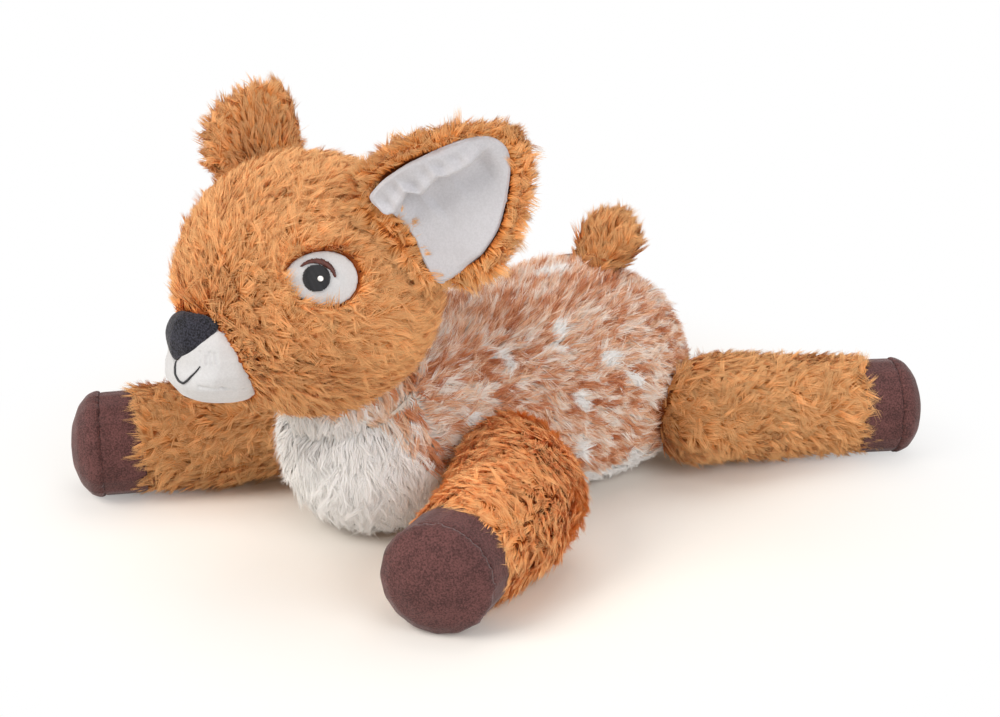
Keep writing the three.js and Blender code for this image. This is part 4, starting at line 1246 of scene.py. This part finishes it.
# The stitched line from the nose down and up to the corner of the mouth, in the same view.
MOUTH_LINE = (
    (1.4, 105.6), (1.6, 103.9), (2.0, 102.4), (3.6, 99.8), (6.0, 97.9), (8.4, 97.2), (10.2, 98.8),
    (12.3, 101.9), (14.4, 105.6),
)


def from_front(solids, across, high, lift=0.0):
    """The place on the snout straight behind a point of the front view, raised off it by lift."""
    start = SNOUT_MIDDLE + HEAD_ACROSS * across + HEAD_FRONT * 60
    start[2] = high
    spot, normal, _, _ = solids.ray_cast(Vector(start), Vector(-HEAD_FRONT), 60)
    if spot is None:
        spot, normal, _, _ = solids.find_nearest(Vector(start - HEAD_FRONT * 35))
    return np.array(spot) + np.array(normal) * lift


class FAWN_OT_muzzle(bpy.types.Operator):
    """Makes the white muzzle panel and the black nose above it"""

    bl_idname = "fawn.muzzle"
    bl_label = "Muzzle and nose"

    def execute(self, context):
        muzzle = soft_copy("muzzle_cover", "muzzle", 0.6, 5, 0.3)
        corners = corners_of(muzzle.data)
        inward = -np.array([tuple(v.normal) for v in muzzle.data.vertices])
        for start, end in CREASES:
            start, along = np.array(start), np.array(end) - np.array(start)
            share = ((corners - start) @ along / (along @ along)).clip(0, 1)
            distance = np.linalg.norm(corners - start - share[:, None] * along, axis=1)
            corners += inward * (CREASE_DEPTH * np.exp(-((distance / CREASE_WIDTH) ** 2)))[:, None]
        corners += chin_shift(corners)[:, None] * HEAD_FRONT
        move_corners(muzzle.data, corners)
        finish_piece(muzzle, "muzzle_cover", white_minky())

        ground = search_tree(["nose_patch", "muzzle_cover", "head_cover"])

        def lay(flat, share):
            rows = [from_front(ground, across, high) for across, high in flat.reshape(-1, 2)]
            placed = np.array(rows).reshape(*share.shape, 3)
            for axis in range(3):
                placed[..., axis] = smoothed(placed[..., axis], 6)
            out = unit((placed - SNOUT_MIDDLE).reshape(-1, 3)).reshape(placed.shape)
            crown = 2.2 * (1 - share**2.2) ** 0.7 + 0.2
            return placed + out * crown[..., None], HEAD_FRONT

        nose = sewn_panel("nose", NOSE_OUTLINE, (0.0, 118.5), 56, lay, 2.0)
        finish_piece(nose, "nose_patch", black_fleece())
        return {"FINISHED"}


class FAWN_OT_mouth(bpy.types.Operator):
    """Makes the stitched black line of the mouth"""

    bl_idname = "fawn.mouth"
    bl_label = "Mouth"

    def execute(self, context):
        ground = search_tree(["muzzle_cover", "head_stuffing"])
        turns = np.array(MOUTH_LINE)
        at = np.linspace(0, len(turns) - 1, 40)
        flat = np.stack([np.interp(at, range(len(turns)), turns[:, axis]) for axis in range(2)], 1)
        line = np.array([from_front(ground, across, high, 0.45) for across, high in flat])
        line += chin_shift(line)[:, None] * HEAD_FRONT
        mouth = thread_object("mouth_thread", [line], 0.55)
        finish_piece(mouth, "mouth_stitches", black_thread())
        return {"FINISHED"}


# The way each eye faces.
EYE_OUT = {"left": (0.8141, -0.4429, 0.377), "right": (-0.8678, -0.3253, 0.377)}
# In millimetres: the iris's radius, the height of its rows, and where the lid's stitches start and end.
IRIS_RADIUS = 5.85
IRIS_ROW = 0.42
LID_INNER = 5.8
LID_OUTER = 8.35


class EyeView:
    """An eye seen straight on: its middle in millimetres, and the directions across, up and out of it.

    Across runs from the snout to the ear in both eyes.
    """

    def __init__(self, side):
        self.middle = middle_mm(side + "_iris")
        self.out = np.array(EYE_OUT[side])
        self.out /= np.linalg.norm(self.out)
        self.up = np.array([0.0, 0.0, 1.0]) - self.out[2] * self.out
        self.up /= np.linalg.norm(self.up)
        self.across = np.cross(self.up, self.out) * (1 if side == "left" else -1)

    def stitch(self, solids, start, end, steps):
        """Places of one stitch over the solids, from a flat start to a flat end around the middle."""
        line = []
        for share in np.linspace(0, 1, steps):
            a, b = (1 - share) * np.array(start) + share * np.array(end)
            above = self.middle + self.across * a + self.up * b + self.out * 6
            spot = solids.ray_cast(Vector(above), Vector(-self.out), 12)[0]
            if spot is not None:
                line.append(np.array(spot) + self.out * 0.08)
        return line


def iris_rows(view, side, random):
    """Level rows of stitches that fill the iris, with uneven ends."""
    solids = search_tree([side + "_iris", side + "_eye_patch"])
    rows = []
    for b in np.arange(-5.7, 5.71, IRIS_ROW):
        a = math.sqrt(IRIS_RADIUS**2 - b**2) + 0.15 * random.uniform(-1, 1)
        rows.append(view.stitch(solids, (-a, b), (a, b), 14))
    return [row for row in rows if len(row) > 1]


def lid_rays(view, side, random):
    """Short stitches side by side along the arc of the lid, shortest in its middle."""
    solids = search_tree([side + "_eyelid", side + "_iris", side + "_eye_patch"])
    rays = []
    for angle in np.radians(np.arange(-1, 138, 2.6)):
        share = (math.degrees(angle) - 62) / 72
        inner = LID_INNER + 1.9 * share**2 + 0.2 * random.uniform(-1, 1)
        outer = LID_OUTER + 0.3 * random.uniform(-1, 1)
        way = np.array([math.cos(angle + 0.1), math.sin(angle + 0.1)])
        back = np.array([math.cos(angle - 0.06), math.sin(angle - 0.06)])
        rays.append(view.stitch(solids, back * inner, way * outer, 6))
    return [ray for ray in rays if len(ray) > 1]


class FAWN_OT_eyes(bpy.types.Operator):
    """Makes both eyes: a white patch with an embroidered iris, glint and lid"""

    bl_idname = "fawn.eyes"
    bl_label = "Eyes"

    def execute(self, context):
        for side in EYE_OUT:
            patch = soft_copy(side + "_eye_patch", side + "_eye_white", 0.5, 6, 0.35)
            finish_piece(patch, side + "_eye_patch", white_minky())
            for part, material, slot in (
                ("iris", black_thread(), "black_thread"),
                ("eye_glint", white_thread(), "white_thread"),
                ("eyelid", brown_thread(), "brown_thread"),
            ):
                node = side + "_" + part
                finish_piece(soft_copy(node, node + "_ground", 0.25, 3), node, material)
            random = np.random.default_rng(61)
            view = EyeView(side)
            iris = thread_object(side + "_iris_stitches", iris_rows(view, side, random), 0.27)
            finish_piece(iris, side + "_iris", black_thread())
            lid = thread_object(side + "_lid_stitches", lid_rays(view, side, random), 0.26)
            finish_piece(lid, side + "_eyelid", brown_thread())
        return {"FINISHED"}


# Where the upper part of the lining rolls forward over the hollow: along the ear and down across it.
LEDGE = np.array(
    (
        (4, -12), (7.6, -13.2), (12.9, -10.7), (18, -12.8), (22.8, -14.6), (26.1, -9.4), (31, -10.4),
        (37.2, -11.2), (39.8, -8.5), (48.2, -6.4), (51.4, -6.2), (58, -7.0),
    )
)


def laid_lining(side):
    """How the lining's panel lies in the ear: rolled forward above the ledge and hollow below it."""
    hinge, along, down, face = ear_frame(side)
    solids = search_tree([side + "_ear_lining"])

    def height_over(row):
        """How far the CAD lining stands over a place of the ear's flat view."""
        spot = solids.ray_cast(Vector(row + face * 40), Vector(-face), 60)[0]
        if spot is None:
            spot = solids.find_nearest(Vector(row + face * 8))[0]
        return (np.array(spot) - row) @ face

    def lay(flat, share):
        ground = hinge + flat[..., :1] * along + flat[..., 1:] * down
        heights = np.array([height_over(row) for row in ground.reshape(-1, 3)])
        height = smoothed(heights.reshape(share.shape), 40)
        u, v = flat[..., 0], flat[..., 1]
        below = v - np.interp(u, LEDGE[:, 0], LEDGE[:, 1])
        amount = step_up(u, 2, 9) * step_up(-u, -60, -50)
        roll = (1 - step_up(below, -1.4, 1.4)) * (2.4 + 3.2 * np.exp(-((below + 2.0) / 2.8) ** 2))
        hollow = HOLLOW * step_up(below, -1.2, 1.2) * np.exp(-(((below - 2) / 9) ** 2).clip(0, 9))
        hollow *= step_up(u, 12, 22)
        wrinkle = 0.6 * np.sin(u * 0.9) * np.exp(-(((below + 5) / 4) ** 2))
        height = height + amount * (roll - hollow + wrinkle) + 0.4 - 1.2 * step_up(share, 0.95, 1.0)
        return ground + height[..., None] * face, face

    return lay


class FAWN_OT_ear_linings(bpy.types.Operator):
    """Makes the smooth white lining of both ears, whose upper part is folded forward over the hollow"""

    bl_idname = "fawn.ear_linings"
    bl_label = "Ear linings"

    def execute(self, context):
        for side in EARS:
            lining = sewn_panel(side + "_lining", LINING_OUTLINE, (31.0, 1.0), 110, laid_lining(side), 1.6)
            finish_piece(lining, side + "_ear_lining", shaded_lining_minky())
        return {"FINISHED"}


class FAWN_OT_hooves(bpy.types.Operator):
    """Makes the suede band and the domed suede sole of each hoof"""

    bl_idname = "fawn.hooves"
    bl_label = "Hooves"

    def execute(self, context):
        for leg in LEGS:
            # The sole of the hind right leg stays flatter behind the back.
            for part, swell in (("band", 0.1), ("sole", 0.0 if leg == "hind_right" else 1.2)):
                node = leg + "_hoof_" + part
                made = soft_copy(node, leg + "_suede_" + part, 1.2, 4, swell)
                finish_piece(made, node, brown_suede())
        return {"FINISHED"}


class FAWN_OT_filling(bpy.types.Operator):
    """Makes the stuffing and the weight pouch inside the covers"""

    bl_idname = "fawn.filling"
    bl_label = "Filling"

    def execute(self, context):
        for node in sorted(n for n in frame["nodes"] if n.endswith("_stuffing")):
            made = soft_copy(node, node.replace("_stuffing", "_fill"), 3.0, 4)
            finish_piece(made, node, fibre_fill())
        pouch = soft_copy("weight_pouch", "bean_pouch", 1.6, 3)
        finish_piece(pouch, "weight_pouch", pouch_cloth())
        return {"FINISHED"}


def studio_floor():
    """Seamless paper: matt and pale, clean white away from the toy, with a faint warm glow painted into its
    shadow as bounce light.
    """
    material, tree = new_material("seamless_matt_paper")
    place = add_node(tree, "ShaderNodeTexCoord")
    grain = add_node(
        tree,
        "ShaderNodeTexNoise",
        {"Vector": place.outputs["Object"], "Scale": 900.0, "Detail": 2.0},
    )
    bump = add_node(
        tree,
        "ShaderNodeBump",
        {"Height": grain.outputs["Fac"], "Strength": 0.15, "Distance": 0.2 * MM},
    )
    paper = add_node(
        tree,
        "ShaderNodeBsdfDiffuse",
        {"Color": linear("#f6f2ec"), "Normal": bump.outputs["Normal"]},
    )
    shown = add_node(tree, "ShaderNodeBsdfDiffuse", {"Color": linear("#f5f2eb")})
    # A faint warm emission near the toy: painted bounce light in its shadow.
    painted_bounce_glow = add_node(tree, "ShaderNodeEmission", {"Color": (0.03, 0.01, 0.0, 1.0), "Strength": 1.0})
    near = add_node(tree, "ShaderNodeAddShader", {0: shown.outputs["BSDF"], 1: painted_bounce_glow.outputs["Emission"]})
    clean = add_node(tree, "ShaderNodeEmission", {"Color": linear("#ffffff"), "Strength": 1.0})
    distance = add_node(tree, "ShaderNodeVectorMath", {0: place.outputs["Object"]}, operation="LENGTH")
    fade = add_node(
        tree,
        "ShaderNodeMapRange",
        {"Value": distance.outputs["Value"], "From Min": 0.12, "From Max": 0.28},
        interpolation_type="SMOOTHSTEP",
    )
    seen = add_node(
        tree,
        "ShaderNodeMixShader",
        {"Fac": fade.outputs["Result"], 1: near.outputs["Shader"], 2: clean.outputs["Emission"]},
    )
    path = add_node(tree, "ShaderNodeLightPath")
    mixed = add_node(
        tree,
        "ShaderNodeMixShader",
        {"Fac": path.outputs["Is Camera Ray"], 1: paper.outputs["BSDF"], 2: seen.outputs["Shader"]},
    )
    add_node(tree, "ShaderNodeOutputMaterial", {"Surface": mixed.outputs["Shader"]})
    return material


# Each lamp: its place, the side of its square in metres, its power in watts and its colour.
LAMPS = {
    "key_softbox": ((-0.3, -1.5, 1.4), 1.1, 27.0, "#fffaf5"),
    "side_softbox": ((1.6, -0.1, 1.0), 1.2, 15.0, "#fdfdff"),
    "top_softbox": ((-0.4, 0.6, 2.0), 1.6, 13.0, "#ffffff"),
}


def add_lamps():
    """Three soft lamps, each turned to the middle of the floor."""
    for name, (place, size, power, colour) in LAMPS.items():
        lamp = bpy.data.lights.new(name, "AREA")
        lamp.shape = "SQUARE"
        lamp.size = size
        lamp.energy = power
        lamp.color = linear(colour)[:3]
        holder = new_object(name, lamp)
        holder.location = place
        holder.rotation_euler = Vector(place).to_track_quat("Z", "Y").to_euler()


def white_world():
    """A white studio all round: full white where it is seen, and weaker as a light."""
    world = bpy.data.worlds.new("white_studio")
    bpy.context.scene.world = world
    tree = empty_tree(world)
    path = add_node(tree, "ShaderNodeLightPath")
    either = add_node(
        tree,
        "ShaderNodeMath",
        {0: path.outputs["Is Camera Ray"], 1: path.outputs["Is Glossy Ray"]},
        operation="MAXIMUM",
    )
    seen = add_node(
        tree,
        "ShaderNodeMath",
        {0: either.outputs["Value"], 1: path.outputs["Is Transmission Ray"]},
        operation="MAXIMUM",
    )
    strength = add_node(
        tree,
        "ShaderNodeMapRange",
        {"Value": seen.outputs["Value"], "To Min": 0.38, "To Max": 1.0},
    )
    sky = add_node(
        tree,
        "ShaderNodeBackground",
        {"Color": linear("#ffffff"), "Strength": strength.outputs["Result"]},
    )
    add_node(tree, "ShaderNodeOutputWorld", {"Surface": sky.outputs["Background"]})


class FAWN_OT_stage(bpy.types.Operator):
    """Sets the pale floor, the soft studio light and the camera"""

    bl_idname = "fawn.stage"
    bl_label = "Stage"

    # The camera: degrees round to the fawn's left and up, metres off, and focal length in sensor widths.
    azimuth = 50.0
    elevation = 22.0
    distance = 1.0
    target = Vector((0.006, 0.007, 0.064))
    focal_share = 2.08

    def execute(self, context):
        bpy.ops.object.select_all(action="DESELECT")
        bpy.ops.mesh.primitive_plane_add(size=8.0, location=(0.0, 0.0, -0.0002))
        floor = context.active_object
        floor.name = "studio_floor"
        floor.data.materials.append(studio_floor())

        turn, lift = math.radians(self.azimuth), math.radians(self.elevation)
        back = Vector((math.sin(turn) * math.cos(lift), -math.cos(turn) * math.cos(lift), math.sin(lift)))
        lens = bpy.data.cameras.new("photo_camera")
        lens.sensor_fit = "HORIZONTAL"
        lens.sensor_width = 36.0
        lens.lens = 36.0 * self.focal_share
        camera = new_object("photo_camera", lens)
        camera.location = self.target + back * self.distance
        camera.rotation_euler = back.to_track_quat("Z", "Y").to_euler()
        context.scene.camera = camera

        add_lamps()
        white_world()
        context.scene.view_settings.view_transform = "Standard"
        return {"FINISHED"}


OPERATORS = (
    FAWN_OT_stage,
    FAWN_OT_filling,
    FAWN_OT_back_coat,
    FAWN_OT_belly_coat,
    FAWN_OT_neck_coat,
    FAWN_OT_head_coat,
    FAWN_OT_ear_coats,
    FAWN_OT_leg_coats,
    FAWN_OT_tail_coat,
    FAWN_OT_muzzle,
    FAWN_OT_mouth,
    FAWN_OT_eyes,
    FAWN_OT_ear_linings,
    FAWN_OT_hooves,
)


class FAWN_PT_pieces(bpy.types.Panel):
    """Lists the steps that dress the fawn"""

    bl_idname = "FAWN_PT_pieces"
    bl_label = "Plush fawn"
    bl_space_type = "VIEW_3D"
    bl_region_type = "UI"
    bl_category = "Fawn"

    def draw(self, context):
        for operator in OPERATORS:
            self.layout.operator(operator.bl_idname)
        for settings in (context.scene.fawn_pile, context.scene.fawn_colours):
            column = self.layout.column()
            for name in settings.bl_rna.properties.keys():
                if name not in {"rna_type", "name"}:
                    column.prop(settings, name)


CLASSES = (FawnPile, FawnColours, *OPERATORS, FAWN_PT_pieces)


def register():
    """Registers the classes and hangs the settings on the scene."""
    for item in CLASSES:
        bpy.utils.register_class(item)
    bpy.types.Scene.fawn_pile = bpy.props.PointerProperty(type=FawnPile)
    bpy.types.Scene.fawn_colours = bpy.props.PointerProperty(type=FawnColours)


def unregister():
    """Takes the settings and the classes away again."""
    del bpy.types.Scene.fawn_colours
    del bpy.types.Scene.fawn_pile
    for item in reversed(CLASSES):
        bpy.utils.unregister_class(item)


def main():
    """Dresses the fawn piece by piece."""
    register()
    for operator in OPERATORS:
        step = operator.bl_idname.removeprefix("fawn.")
        getattr(bpy.ops.fawn, step)()


if __name__ == "__main__":
    main()
